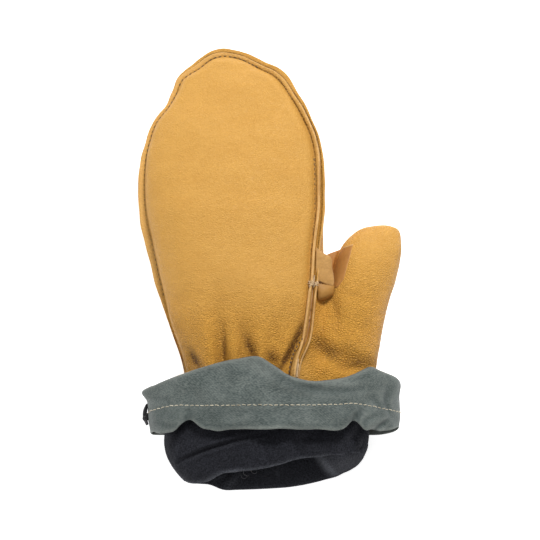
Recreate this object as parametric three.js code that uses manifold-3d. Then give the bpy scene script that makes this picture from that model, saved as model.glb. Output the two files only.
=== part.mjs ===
// A left-hand leather mitten with a turned canvas cuff and a wool liner, lying on its palm.
// Lengths are millimetres. X runs to the thumb's side, Y to the fingertips and Z up from the floor.
// While it is made, X is 0 on the hand's centre line and Y is 0 at the leather's wrist end.
import * as THREE from "three";
import { mergeVertices } from "three/addons/utils/BufferGeometryUtils.js";
import Module from "manifold-3d";

const wasm = await Module();
wasm.setup();

// Driving dimensions of the leather hand and thumb
const HAND_LENGTH = 236;
const HAND_WIDTH = 120;
const HAND_DEPTH = 47;
const THUMB_LENGTH = 120.5;
const THUMB_WIDTH = 51.6;
const THUMB_DEPTH = 37;
const THUMB_OFFSET = 69;
const THUMB_LEAN = 32;
const LEATHER_THICKNESS = 1.3;
const SEAM_ALLOWANCE = 3.3;
const SEAM_TRIMMED = 0.3;
const PUCKER_DEPTH = 2.6;
const TIP_RISE_START = 0.86;

// Driving dimensions of the cuff
const CUFF_WIDTH = 166;
const CUFF_OFFSET = 28;
const CUFF_DEPTH = 45;
const CUFF_WAIST = 9;
const CUFF_HEM_DROP = 21;
const CUFF_TURN_RISE = 27;
const CUFF_UNDER_RISE = 17;
const CUFF_TURN_RADIUS = 2.2;
const CUFF_SEAM_OVERLAP = 4;
const WRIST_EASE = 1.7;
const CANVAS_THICKNESS = 1.5;

// Driving dimensions of the liner
const LINER_DROP = 54;
const LINER_WIDTH = 137;
const LINER_OFFSET = 23;
const LINER_DEPTH = 36;
const LINER_EASE = 0.9;
const WOOL_THICKNESS = 2.2;
const LINER_CROWD = 2.9;
const LINER_BAG_START = 2;
const LINER_REACH = 27;
const LINER_SPLIT = 3;

// Driving dimensions of the small pieces
const TAB_LENGTH = 25;
const TAB_WIDTH = 14;
const TAB_PLACE = 89;
const TAB_SAG = 2.2;
const TAB_DROP = 1;
const CORD_DIAMETER = 2.6;
const CORD_LENGTH = 13;
const CORD_START = 1;
const CORD_BOW = 0.7;
const KNOT_DIAMETER = 4.4;
const KNOT_SHARE = 0.75;

// Clearance between pieces that touch, and how far the underside is pressed flat
const GAP = 0.3;
const REST_SINK = 2;

// The seam is trimmed where it runs into the turned cuff
const SEAM_TRIM_START = CUFF_SEAM_OVERLAP + 2;
const SEAM_TRIM_END = CUFF_SEAM_OVERLAP + 16;

// The leather's wrist end lies on both layers of the cuff, and reaches the floor further on
const WRIST_LIFT = 2 * CUFF_TURN_RADIUS + GAP;
const WRIST_LIFT_END = 52;

const { PI, abs, cos, max, min, sign, sin } = Math;
const point = (x, y, z) => new THREE.Vector3(x, y, z);
const radians = THREE.MathUtils.degToRad;

// The hand from wrist to tip. along is a share of the length, left and right of half the width, and the
// heights are shares of the depth. The seams are in degrees up from the widest line of each side.
const HAND_SECTIONS = [
  { along: 0.0, left: -0.48, right: 1.02, top: 0.74, waist: 0.34, rightSeam: 58, leftSeam: -22 },
  { along: 0.1, left: -0.53, right: 1.03, top: 0.8, waist: 0.36, rightSeam: 56, leftSeam: -20 },
  { along: 0.24, left: -0.68, right: 1.035, top: 0.93, waist: 0.39, rightSeam: 48, leftSeam: -10 },
  { along: 0.36, left: -0.79, right: 1.03, top: 1.0, waist: 0.4, rightSeam: 40, leftSeam: -2 },
  { along: 0.5, left: -0.91, right: 1.02, top: 1.0, waist: 0.4, rightSeam: 27, leftSeam: 0 },
  { along: 0.62, left: -0.96, right: 1.025, top: 0.93, waist: 0.39, rightSeam: 22, leftSeam: 0 },
  { along: 0.72, left: -0.93, right: 0.99, top: 0.83, waist: 0.37, rightSeam: 21, leftSeam: 0 },
  { along: 0.8, left: -0.84, right: 0.91, top: 0.73, waist: 0.345, rightSeam: 21, leftSeam: 0 },
  { along: 0.86, left: -0.68, right: 0.8, top: 0.64, waist: 0.32, rightSeam: 21, leftSeam: 0 },
  { along: 0.905, left: -0.6, right: 0.69, top: 0.56, waist: 0.3, rightSeam: 19, leftSeam: 0 },
  { along: 0.95, left: -0.42, right: 0.53, top: 0.46, waist: 0.275, rightSeam: 15, leftSeam: 0 },
  { along: 0.978, left: -0.27, right: 0.36, top: 0.38, waist: 0.26, rightSeam: 10, leftSeam: 0 },
  { along: 1.0, left: -0.04, right: -0.04, top: 0.25, waist: 0.25, rightSeam: 0, leftSeam: 0 },
];

// The thumb the same way. shift is its centre's travel as a share of the lean, and half is a share of half
// the width.
const THUMB_SECTIONS = [
  { along: 0.0, shift: 0.0, half: 0.9, top: 0.82, waist: 0.42, base: 0 },
  { along: 0.2, shift: 0.03, half: 0.945, top: 0.88, waist: 0.44, base: 0 },
  { along: 0.36, shift: 0.11, half: 0.99, top: 0.97, waist: 0.46, base: 0 },
  { along: 0.48, shift: 0.2, half: 1.0, top: 1.0, waist: 0.46, base: 0 },
  { along: 0.58, shift: 0.3, half: 0.97, top: 1.0, waist: 0.46, base: 0 },
  { along: 0.66, shift: 0.45, half: 0.93, top: 0.98, waist: 0.46, base: 0 },
  { along: 0.75, shift: 0.59, half: 0.88, top: 0.94, waist: 0.45, base: 0 },
  { along: 0.815, shift: 0.65, half: 0.86, top: 0.89, waist: 0.45, base: 0.02 },
  { along: 0.87, shift: 0.715, half: 0.8, top: 0.84, waist: 0.445, base: 0.07 },
  { along: 0.915, shift: 0.78, half: 0.71, top: 0.76, waist: 0.44, base: 0.13 },
  { along: 0.95, shift: 0.85, half: 0.6, top: 0.69, waist: 0.44, base: 0.19 },
  { along: 0.978, shift: 0.92, half: 0.44, top: 0.6, waist: 0.435, base: 0.27 },
  { along: 1.0, shift: 1.0, half: 0.0, top: 0.43, waist: 0.43, base: 0.43 },
];

// The dents where the back is gathered at the wrist: across is a share of half the hand's width, breadth
// and reach are shares of the hand's length, and deep is a share of the pucker depth.
const PUCKERS = [
  { across: -0.29, breadth: 0.022, reach: 0.22, deep: 0.9 },
  { across: -0.04, breadth: 0.018, reach: 0.3, deep: 0.7 },
  { across: 0.28, breadth: 0.022, reach: 0.27, deep: 0.9 },
  { across: 0.52, breadth: 0.024, reach: 0.2, deep: 1.0 },
];

// The cuff's turned top edge and its hem, round the cuff from the thumb's side over the top. rise and drop
// are shares of the named rise and hem drop.
const CUFF_EDGES = [
  { turn: 0, rise: 0.57, drop: 0.68 },
  { turn: 15, rise: 0.72, drop: 0.8 },
  { turn: 36, rise: 0.87, drop: 0.88 },
  { turn: 52, rise: 0.68, drop: 0.68 },
  { turn: 62, rise: 0.51, drop: 1.0 },
  { turn: 75, rise: 0.43, drop: 1.03 },
  { turn: 85, rise: 0.57, drop: 1.03 },
  { turn: 98, rise: 1.02, drop: 1.03 },
  { turn: 118, rise: 0.84, drop: 0.98 },
  { turn: 130, rise: 0.7, drop: 0.7 },
  { turn: 143, rise: 0.56, drop: 0.95 },
  { turn: 160, rise: 0.44, drop: 0.8 },
  { turn: 180, rise: 0.4, drop: 0.72 },
  { turn: 225, rise: 0.5, drop: 0.95 },
  { turn: 270, rise: 0.6, drop: 0.88 },
  { turn: 315, rise: 0.58, drop: 1.0 },
  { turn: 360, rise: 0.57, drop: 0.68 },
];

// The liner below the wrist, to its mouth. out is a share of the drop, left and right are shares of half the
// liner's width, and the heights are shares of its depth.
const MOUTH_SECTIONS = [
  { out: 0.38, left: -0.98, right: 1.0, top: 1.0, waist: 0.33, base: 0.07 },
  { out: 0.56, left: -0.98, right: 0.98, top: 0.98, waist: 0.28, base: 0.02 },
  { out: 0.74, left: -0.93, right: 0.94, top: 0.9, waist: 0.25, base: 0 },
  { out: 1.0, left: -0.78, right: 0.8, top: 0.8, waist: 0.22, base: 0 },
];

// How far each side of the liner's mouth stands back from its longest lip, as a share of the drop
const MOUTH_SETBACK = [
  { turn: 0, back: 0.36 },
  { turn: 60, back: 0.38 },
  { turn: 110, back: 0.28 },
  { turn: 150, back: 0.2 },
  { turn: 180, back: 0.22 },
  { turn: 225, back: 0.06 },
  { turn: 270, back: 0.0 },
  { turn: 315, back: 0.12 },
  { turn: 360, back: 0.36 },
];

// Shape of the sections: higher powers are boxier
const UPPER_POWER = 2.4;
const LOWER_POWER = 3.2;
const CUFF_POWER = 2.1;
const WRIST_POWER = 2.7;
const THINNEST_SHARE = 0.35;

// Counts of rows and columns
const HAND_ROWS = 22;
const BACK_COLUMNS = 20;
const PALM_COLUMNS = 16;
const BAG_COLUMNS = 24;
const THUMB_ROWS = 14;
const THUMB_COLUMNS = 22;
const CUFF_COLUMNS = 48;
const MOUTH_ROWS = 9;
const MOUTH_COLUMNS = 32;
const TIP_CROWDING = 1.6;

// One column of a table at a place along it, on a smooth curve that never overshoots its rows.
function sampled(table, key, column, at) {
  const last = table.length - 1;
  const place = min(max(at, table[0][key]), table[last][key]);
  let row = 0;
  while (row < last - 1 && place > table[row + 1][key]) row += 1;
  const span = (i) => table[i + 1][key] - table[i][key];
  const slope = (i) => (table[i + 1][column] - table[i][column]) / span(i);
  const tangent = (i) => {
    if (i === 0) return slope(0);
    if (i === last) return slope(last - 1);
    const before = slope(i - 1);
    const after = slope(i);
    return before * after <= 0 ? 0 : (2 * before * after) / (before + after);
  };
  const t = (place - table[row][key]) / span(row);
  const start = table[row][column];
  const end = table[row + 1][column];
  const rise = (2 * t - 3) * t * t * (start - end) + start;
  return rise + span(row) * t * (1 - t) * ((1 - t) * tangent(row) - t * tangent(row + 1));
}

// A point on a closed section with a flat underside, at an angle from its thumb side over its top.
function sectionPoint(section, y, angle) {
  const { left, right, top, waist, base, floor, power: upper = UPPER_POWER } = section;
  const level = sin(angle);
  const power = level >= 0 ? upper : LOWER_POWER;
  const reach = level >= 0 ? top - waist : waist - base;
  const x = (left + right) / 2 + ((right - left) / 2) * sign(cos(angle)) * abs(cos(angle)) ** (2 / power);
  const z = waist + reach * sign(level) * abs(level) ** (2 / power);
  return point(x, y, max(z, floor));
}

// A size made smaller by an inset, but never thinner than a share of itself.
const shrunk = (size, inset) => max(size - inset, size * THINNEST_SHARE);

function insetSection(section, inset) {
  const { left, right, top, waist, base, floor } = section;
  const middle = (left + right) / 2;
  const half = shrunk((right - left) / 2, inset);
  return {
    ...section,
    left: middle - half,
    right: middle + half,
    top: waist + shrunk(top - waist, inset),
    waist,
    base: waist - shrunk(waist - base, inset),
    floor: floor + inset,
  };
}

function blended(from, to, share) {
  const mix = (key) => from[key] + (to[key] - from[key]) * share;
  return Object.fromEntries(Object.keys(from).map((key) => [key, mix(key)]));
}

// How high the leather's wrist end lies above the floor, on the two layers of the turned cuff.
function liftAt(y) {
  const t = THREE.MathUtils.clamp((WRIST_LIFT_END - y) / (WRIST_LIFT_END - CUFF_UNDER_RISE), 0, 1);
  return WRIST_LIFT * t * t * (3 - 2 * t);
}

// How much the gathers lower the back at a place. They fade out towards the fingers.
function puckerAt(x, along) {
  let depth = 0;
  for (const pucker of PUCKERS) {
    const offset = (x - (pucker.across * HAND_WIDTH) / 2) / (pucker.breadth * HAND_LENGTH);
    const fade = max(0, 1 - along / pucker.reach);
    depth += pucker.deep * PUCKER_DEPTH * Math.exp(-offset * offset) * fade * fade;
  }
  return depth;
}

function handPoint(along, angle, inset = 0) {
  const value = (column) => sampled(HAND_SECTIONS, "along", column, along);
  const rising = max(0, (along - TIP_RISE_START) / (1 - TIP_RISE_START));
  const section = insetSection(
    {
      left: (value("left") * HAND_WIDTH) / 2,
      right: (value("right") * HAND_WIDTH) / 2,
      top: value("top") * HAND_DEPTH,
      waist: value("waist") * HAND_DEPTH,
      base: value("waist") * HAND_DEPTH * rising ** 2 - REST_SINK * (1 - rising),
      floor: liftAt(along * HAND_LENGTH),
    },
    inset,
  );
  const place = sectionPoint(section, along * (HAND_LENGTH - inset), angle);
  if (sin(angle) > 0) place.z -= puckerAt(place.x, along) * sin(angle);
  return place;
}

function thumbPoint(along, angle, inset = 0) {
  const value = (column) => sampled(THUMB_SECTIONS, "along", column, along);
  const centre = THUMB_OFFSET + value("shift") * THUMB_LEAN;
  const half = (value("half") * THUMB_WIDTH) / 2;
  const section = insetSection(
    {
      left: centre - half,
      right: centre + half,
      top: value("top") * THUMB_DEPTH,
      waist: value("waist") * THUMB_DEPTH,
      base: value("base") * THUMB_DEPTH - REST_SINK * (1 - value("base")),
      floor: liftAt(along * THUMB_LENGTH),
    },
    inset,
  );
  return sectionPoint(section, along * (THUMB_LENGTH - inset), angle);
}

// The liner's section where it passes the leather's wrist end, clear of the fold between hand and thumb.
function wristHollow() {
  const outside = LEATHER_THICKNESS + LINER_EASE;
  return {
    left: (HAND_SECTIONS[0].left * HAND_WIDTH) / 2 + outside + LINER_CROWD / 2,
    right: THUMB_OFFSET + (THUMB_SECTIONS[0].half * THUMB_WIDTH) / 2 - outside - LINER_CROWD / 2,
    top: THUMB_SECTIONS[0].top * THUMB_DEPTH - outside - LINER_CROWD,
    waist: THUMB_SECTIONS[0].waist * THUMB_DEPTH - LINER_CROWD / 2,
    base: WRIST_LIFT + outside,
    floor: 0,
  };
}

// Below the wrist the liner opens out to its own width inside the cuff.
function mouthPoint(out, angle, inset = 0) {
  const value = (column) => sampled(MOUTH_SECTIONS, "out", column, out);
  const open = {
    left: LINER_OFFSET + (value("left") * LINER_WIDTH) / 2,
    right: LINER_OFFSET + (value("right") * LINER_WIDTH) / 2,
    top: value("top") * LINER_DEPTH,
    waist: value("waist") * LINER_DEPTH,
    base: value("base") * LINER_DEPTH,
    floor: 0,
  };
  const share = THREE.MathUtils.smoothstep(out, 0, MOUTH_SECTIONS[0].out);
  const section = insetSection(blended(wristHollow(), open, share), inset);
  return sectionPoint(section, -out * LINER_DROP, angle);
}

// Places from 0 to 1 in equal steps, or crowded towards 1.
const steps = (count, crowding = 1) =>
  Array.from({ length: count + 1 }, (_, i) => 1 - (1 - i / count) ** crowding);

const turns = (count) => Array.from({ length: count }, (_, i) => (2 * PI * i) / count);

// Triangles with vertices merged and collapsed ones dropped, facing out.
function closedGeometry(points, triangles) {
  const loose = new THREE.BufferGeometry();
  loose.setAttribute("position", new THREE.Float32BufferAttribute(points.flatMap((p) => [p.x, p.y, p.z]), 3));
  loose.setIndex(triangles.flat());
  const merged = mergeVertices(loose, 1e-3);
  const order = merged.index.array;
  const kept = [];
  for (let i = 0; i < order.length; i += 3) {
    const [a, b, c] = [order[i], order[i + 1], order[i + 2]];
    if (a !== b && b !== c && c !== a) kept.push([a, b, c]);
  }
  const at = (i) => new THREE.Vector3().fromBufferAttribute(merged.attributes.position, i);
  const volume = kept.reduce((sum, [a, b, c]) => sum + at(a).dot(at(b).cross(at(c))), 0);
  merged.setIndex(kept.flatMap(([a, b, c]) => (volume < 0 ? [a, c, b] : [a, b, c])));
  return merged;
}

// A wall between two grids of points. wraps joins its last column to its first. pointed leaves its last row
// without a rim, because the columns meet there.
function wall(outer, inner, { wraps = false, pointed = false } = {}) {
  const rows = outer.length;
  const columns = outer[0].length;
  const across = wraps ? columns : columns - 1;
  const near = (row, column) => row * columns + (column % columns);
  const far = (row, column) => rows * columns + near(row, column);
  const triangles = [];
  const rim = (from, to) => {
    const [a, b] = [near(...from), near(...to)];
    const [c, d] = [far(...from), far(...to)];
    triangles.push([b, a, c], [b, c, d]);
  };
  for (let row = 0; row < rows - 1; row += 1) {
    for (let column = 0; column < across; column += 1) {
      for (const [side, flip] of [[near, false], [far, true]]) {
        const corners = [[0, 0], [0, 1], [1, 1], [1, 0]].map(([down, on]) => side(row + down, column + on));
        const [a, b, c, d] = flip ? corners.reverse() : corners;
        triangles.push([a, b, c], [a, c, d]);
      }
    }
    if (!wraps) {
      rim([row + 1, 0], [row, 0]);
      rim([row, columns - 1], [row + 1, columns - 1]);
    }
  }
  for (let column = 0; column < across; column += 1) {
    rim([0, column], [0, column + 1]);
    if (!pointed) rim([rows - 1, column + 1], [rows - 1, column]);
  }
  return closedGeometry([...outer.flat(), ...inner.flat()], triangles);
}

// A full body inside rows of closed sections, with a flat cap over each end.
function body(rows) {
  const columns = rows[0].length;
  const points = rows.flat();
  const triangles = [];
  for (let row = 0; row < rows.length - 1; row += 1) {
    for (let column = 0; column < columns; column += 1) {
      const next = (column + 1) % columns;
      const [a, b] = [row * columns + column, row * columns + next];
      triangles.push([a, b, b + columns], [a, b + columns, a + columns]);
    }
  }
  for (const [row, start] of [[0, 0], [rows.length - 1, (rows.length - 1) * columns]]) {
    const centre = rows[row].reduce((sum, p) => sum.add(p), point(0, 0, 0)).divideScalar(columns);
    const hub = points.push(centre) - 1;
    for (let column = 0; column < columns; column += 1) {
      const [a, b] = [start + column, start + ((column + 1) % columns)];
      triangles.push(row === 0 ? [b, a, hub] : [a, b, hub]);
    }
  }
  return closedGeometry(points, triangles);
}

function asSolid(geometry) {
  const vertProperties = new Float32Array(geometry.attributes.position.array);
  const triVerts = new Uint32Array(geometry.index.array);
  return new wasm.Manifold(new wasm.Mesh({ numProp: 3, vertProperties, triVerts }));
}

// Cuts can leave crumbs behind, so only the largest body is kept.
const largest = (solid) => solid.decompose().sort((a, b) => b.volume() - a.volume())[0];

function asGeometry(solid) {
  const { vertProperties, triVerts } = solid.getMesh();
  const geometry = new THREE.BufferGeometry();
  geometry.setAttribute("position", new THREE.BufferAttribute(vertProperties, 3));
  geometry.setIndex(new THREE.BufferAttribute(triVerts, 1));
  return geometry;
}

// The hand and the thumb as full bodies, smaller by an inset. Each begins at a distance from the wrist's
// edge. A body that cuts others reaches ahead of that, so its cut is clean.
function handBody(inset, start = 0, ahead = 0) {
  const from = start / HAND_LENGTH;
  const angles = turns(BAG_COLUMNS);
  const rows = steps(HAND_ROWS, TIP_CROWDING)
    .map((step) => from + (1 - from) * step)
    .map((along) => angles.map((angle) => handPoint(along, angle, inset)));
  const first = rows[0].map((p) => point(p.x, p.y - ahead, p.z));
  return asSolid(body(ahead > 0 ? [first, ...rows] : rows));
}

function thumbBody(inset, start = 0, ahead = 0) {
  const from = start / THUMB_LENGTH;
  const angles = turns(THUMB_COLUMNS);
  const rows = steps(THUMB_ROWS, TIP_CROWDING)
    .map((step) => from + (1 - from) * step)
    .map((along) => angles.map((angle) => thumbPoint(along, angle, inset)));
  const first = rows[0].map((p) => point(p.x, p.y - ahead, p.z));
  return asSolid(body(ahead > 0 ? [first, ...rows] : rows));
}

// The seam's root on the hand's surface, the way its allowance stands, and the way towards the back panel.
function seamAt(along, side) {
  const degrees = sampled(HAND_SECTIONS, "along", side === "right" ? "rightSeam" : "leftSeam", along);
  const angle = side === "right" ? radians(degrees) : PI - radians(degrees);
  if (along >= 1) return { angle, root: handPoint(1, 0), out: point(0, 1, 0), up: point(0, 0, 1) };
  const small = 1e-3;
  const root = handPoint(along, angle);
  const round = handPoint(along, angle + small).sub(handPoint(along, angle - small)).normalize();
  const ahead = handPoint(min(along + small, 1), angle);
  const forward = ahead.sub(handPoint(max(along - small, 0), angle));
  const out = forward.cross(round).normalize();
  const up = side === "right" ? round : round.clone().negate();
  return { angle, root, out, up };
}

// How far the seam stands out from the leather. Inside the cuff it is trimmed away.
function allowanceAt(y) {
  const t = THREE.MathUtils.smoothstep(y, SEAM_TRIM_START, SEAM_TRIM_END);
  return SEAM_TRIMMED + (SEAM_ALLOWANCE - SEAM_TRIMMED) * t;
}

// One row of a panel from seam to seam: its grain side, or its flesh side when inset is the leather's
// thickness. facing is 1 for the back panel and -1 for the palm.
function panelRow(along, facing, columns, inset, clearance) {
  const right = seamAt(along, "right");
  const left = seamAt(along, "left");
  const waist = sampled(HAND_SECTIONS, "along", "waist", along) * HAND_DEPTH;
  const grain = inset === 0;
  const stand = facing * (GAP / 2 + (grain ? LEATHER_THICKNESS + clearance : -clearance));
  const depth = grain ? -clearance : LEATHER_THICKNESS + clearance;
  const allowance = allowanceAt(along * HAND_LENGTH) + clearance;
  const edge = ({ root, out, up }) => root.clone().addScaledVector(out, allowance).addScaledVector(up, stand);
  const foot = ({ root, out, up }) => root.clone().addScaledVector(out, -depth).addScaledVector(up, stand);
  const row = [edge(right), foot(right)];
  const start = right.angle;
  const end = facing > 0 ? left.angle : left.angle - 2 * PI;
  for (let column = 1; column < columns; column += 1) {
    const angle = start + ((end - start) * column) / columns;
    const place = along >= 1 ? foot(right) : handPoint(along, angle, depth);
    if (facing * sin(angle) > 0) place.z = facing * max(facing * place.z, facing * (waist + stand));
    row.push(place);
  }
  return [...row, foot(left), edge(left)];
}

function panel(facing, columns, clearance = 0) {
  const alongs = steps(HAND_ROWS, TIP_CROWDING);
  const outer = alongs.map((along) => panelRow(along, facing, columns, 0, clearance));
  const inner = alongs.map((along) => panelRow(along, facing, columns, LEATHER_THICKNESS, clearance));
  return asSolid(wall(outer, inner, { pointed: true }));
}

const backPanel = () => panel(1, BACK_COLUMNS);

// The palm has a hole where the thumb's hollow opens into the hand.
const palmPanel = () => panel(-1, PALM_COLUMNS).subtract(thumbBody(LEATHER_THICKNESS, 0, 1));

// The thumb's wall stops against the hand and passes under the seam.
function thumbPiece() {
  const hollow = thumbBody(LEATHER_THICKNESS, 0, 1);
  const whole = thumbBody(0).subtract(hollow).subtract(handBody(-GAP, 0, 1));
  const clear = whole.subtract(panel(1, BACK_COLUMNS, GAP)).subtract(panel(-1, PALM_COLUMNS, GAP));
  return largest(clear);
}

// The tab is sewn beside the right seam and lies over the crotch, its flesh side up.
function crotchTab() {
  const across = steps(4);
  const lengths = steps(5);
  const level = (raise) =>
    lengths.map((share) => {
      const y = TAB_PLACE + (share - 0.5) * TAB_LENGTH;
      const { root, out } = seamAt(y / HAND_LENGTH, "right");
      const start = root.clone().addScaledVector(out, SEAM_ALLOWANCE / 2);
      return across.map((step) => {
        const x = start.x + LEATHER_THICKNESS + 2 * GAP + step * TAB_WIDTH;
        return point(x, y, start.z - TAB_DROP - TAB_SAG * step * step + raise);
      });
    });
  const plate = asSolid(wall(level(LEATHER_THICKNESS), level(0)));
  const clear = plate
    .subtract(panel(-1, PALM_COLUMNS, GAP))
    .subtract(handBody(-GAP))
    .subtract(thumbBody(-GAP));
  return largest(clear);
}

// The cuff's outside where it lies over the hand, and the loop where its inner limb meets the leather.
const CUFF_SECTION = {
  left: CUFF_OFFSET - CUFF_WIDTH / 2,
  right: CUFF_OFFSET + CUFF_WIDTH / 2,
  top: CUFF_DEPTH,
  waist: CUFF_WAIST,
  base: -REST_SINK,
  floor: 0,
  power: CUFF_POWER,
};
const WRIST_SECTION = {
  left: (HAND_SECTIONS[0].left * HAND_WIDTH) / 2 - WRIST_EASE,
  right: THUMB_OFFSET + (THUMB_SECTIONS[0].half * THUMB_WIDTH) / 2 + WRIST_EASE,
  top: HAND_SECTIONS[0].top * HAND_DEPTH + WRIST_EASE,
  waist: HAND_SECTIONS[0].waist * HAND_DEPTH,
  base: -REST_SINK - WRIST_EASE,
  floor: 2 * CUFF_TURN_RADIUS,
  power: WRIST_POWER,
};

// The side of the canvas that shows: up from the hem, round the turn, and down to the leather.
function cuffSide() {
  const angles = turns(CUFF_COLUMNS);
  const edge = (column, angle) => sampled(CUFF_EDGES, "turn", column, THREE.MathUtils.radToDeg(angle));
  const line = (section, height) => angles.map((angle) => sectionPoint(section, height(angle), angle));
  const drop = (angle) => -edge("drop", angle) * CUFF_HEM_DROP;
  const crown = (angle) => edge("rise", angle) * CUFF_TURN_RISE - CUFF_TURN_RADIUS;
  const outerRows = [0, 0.35, 0.7, 1].map((share) =>
    line(CUFF_SECTION, (angle) => drop(angle) * (1 - share) + crown(angle) * share),
  );
  const turnRows = [45, 90, 135, 180].map((degrees) => {
    const inset = CUFF_TURN_RADIUS * (1 - cos(radians(degrees)));
    const ahead = CUFF_TURN_RADIUS * sin(radians(degrees));
    return line(insetSection(CUFF_SECTION, inset), (angle) => crown(angle) + ahead);
  });
  const turned = insetSection(CUFF_SECTION, 2 * CUFF_TURN_RADIUS);
  const innerRows = [0.34, 0.67, 1].map((share) => {
    const section = blended(turned, WRIST_SECTION, share);
    return line(section, (angle) => crown(angle) + (CUFF_SEAM_OVERLAP - crown(angle)) * share);
  });
  const endRow = line(WRIST_SECTION, () => 0);
  return [...outerRows, ...turnRows, ...innerRows, endRow];
}

// The same grid moved to the other side of a sheet, along the sheet's own normals.
function offsetGrid(grid, distance) {
  const last = grid.length - 1;
  const count = grid[0].length;
  return grid.map((row, i) =>
    row.map((place, j) => {
      const round = row[(j + 1) % count].clone().sub(row[(j + count - 1) % count]);
      const along = grid[min(i + 1, last)][j].clone().sub(grid[max(i - 1, 0)][j]);
      return place.clone().addScaledVector(along.cross(round).normalize(), distance);
    }),
  );
}

// The canvas is cut clear of the leather where its inner limb meets the wrist.
function cuffPiece() {
  const shown = cuffSide();
  const sheet = asSolid(wall(shown, offsetGrid(shown, -CANVAS_THICKNESS), { wraps: true }));
  const leatherSpace = handBody(-2 * GAP, 0, 1)
    .add(thumbBody(-2 * GAP, 0, 1))
    .add(panel(-1, PALM_COLUMNS, GAP))
    .add(panel(1, BACK_COLUMNS, GAP));
  return largest(sheet.subtract(leatherSpace));
}

// The liner's wrist and mouth as a full body. Its open end slants from lip to lip.
function mouthBody(inset, extra = 0) {
  const angles = turns(MOUTH_COLUMNS);
  const start = (inset - LINER_REACH) / LINER_DROP;
  const setback = (angle) => sampled(MOUTH_SETBACK, "turn", "back", THREE.MathUtils.radToDeg(angle));
  const ends = angles.map((angle) => 1 - setback(angle));
  const rows = steps(MOUTH_ROWS).map((step) =>
    angles.map((angle, i) => {
      const out = start + (ends[i] - start) * step;
      return mouthPoint(out, angle, inset);
    }),
  );
  const beyond = rows[rows.length - 1].map((p) => point(p.x, p.y - extra, p.z));
  return asSolid(body(extra > 0 ? [...rows, beyond] : rows));
}

// The whole liner: a bag with a hand and a thumb, open at its mouth.
function linerWall() {
  const outside = LEATHER_THICKNESS + LINER_EASE;
  const inside = outside + WOOL_THICKNESS;
  const bag = (inset, start) => handBody(inset, start).add(thumbBody(inset, start));
  const outer = mouthBody(0).add(bag(outside, LINER_BAG_START));
  const inner = mouthBody(WOOL_THICKNESS, 2).add(bag(inside, LINER_BAG_START + WOOL_THICKNESS));
  return outer.subtract(inner);
}

// A block that takes away everything on one side of a line across the mitten.
function blockBeyond(y, side) {
  const size = 2 * (HAND_LENGTH + LINER_DROP);
  const block = new THREE.BoxGeometry(size, size, size);
  block.translate(0, y + (side * size) / 2, 0);
  return plainSolid(block);
}

// The liner is two solids, the bag inside the leather and the mouth that comes out of it.
const linerBag = () => largest(linerWall().subtract(blockBeyond(LINER_SPLIT + GAP / 2, -1)));
const linerMouth = () => largest(linerWall().subtract(blockBeyond(LINER_SPLIT - GAP / 2, 1)));

// A library geometry as a solid, once only its positions are left.
function plainSolid(geometry) {
  geometry.deleteAttribute("normal");
  geometry.deleteAttribute("uv");
  return asSolid(mergeVertices(geometry, 1e-3));
}

// The cord bows out beside the cuff's end, and its knot lies on it.
function cuffCord() {
  const x = CUFF_SECTION.left - GAP - CORD_DIAMETER / 2;
  const route = new THREE.CatmullRomCurve3([
    point(x, CORD_START, CUFF_WAIST),
    point(x - CORD_BOW, CORD_START - CORD_LENGTH / 2, CUFF_WAIST),
    point(x, CORD_START - CORD_LENGTH, CUFF_WAIST),
  ]);
  const section = new THREE.Shape();
  section.absarc(0, 0, CORD_DIAMETER / 2, 0, 2 * PI);
  const tube = new THREE.ExtrudeGeometry(section, {
    steps: 6,
    curveSegments: 12,
    bevelEnabled: false,
    extrudePath: route,
  });
  const knot = new THREE.SphereGeometry(KNOT_DIAMETER / 2, 12, 8);
  const place = route.getPoint(KNOT_SHARE);
  knot.translate(x - (KNOT_DIAMETER - CORD_DIAMETER) / 2, place.y, place.z);
  return plainSolid(tube).add(plainSolid(knot));
}

const leather = new THREE.MeshStandardMaterial({ color: 0xdda75f, roughness: 0.75 });
const suede = new THREE.MeshStandardMaterial({ color: 0xc99a59, roughness: 0.95 });
const canvas = new THREE.MeshStandardMaterial({ color: 0x606966, roughness: 0.9 });
const wool = new THREE.MeshStandardMaterial({ color: 0x212125, roughness: 1 });
const elastic = new THREE.MeshStandardMaterial({ color: 0x111113, roughness: 0.8 });

const pieces = [
  ["back_panel", leather, backPanel()],
  ["palm_panel", leather, palmPanel()],
  ["thumb", leather, thumbPiece()],
  ["crotch_tab", suede, crotchTab()],
  ["cuff", canvas, cuffPiece()],
  ["liner_bag", wool, linerBag()],
  ["liner_mouth", wool, linerMouth()],
  ["cuff_cord", elastic, cuffCord()],
];

const mitten = new THREE.Group();
mitten.name = "leather_mitten";
for (const [name, material, solid] of pieces) {
  const mesh = new THREE.Mesh(asGeometry(solid), material);
  mesh.name = name;
  mitten.add(mesh);
}

// The finished mitten stands with its bounding box's bottom centre on the origin.
const box = new THREE.Box3().setFromObject(mitten);
const centre = box.getCenter(new THREE.Vector3());
for (const mesh of mitten.children) mesh.geometry.translate(-centre.x, -centre.y, -box.min.z);

export default mitten;
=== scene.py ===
"""A left-hand work mitten seen from the back: leather, a turned canvas cuff and a wool liner."""

import logging
import math
from contextlib import contextmanager
from dataclasses import dataclass
from enum import Enum
from typing import Callable, Iterator

import bmesh
import bpy
import numpy as np
from mathutils import Matrix, Vector
from mathutils.bvhtree import BVHTree

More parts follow.
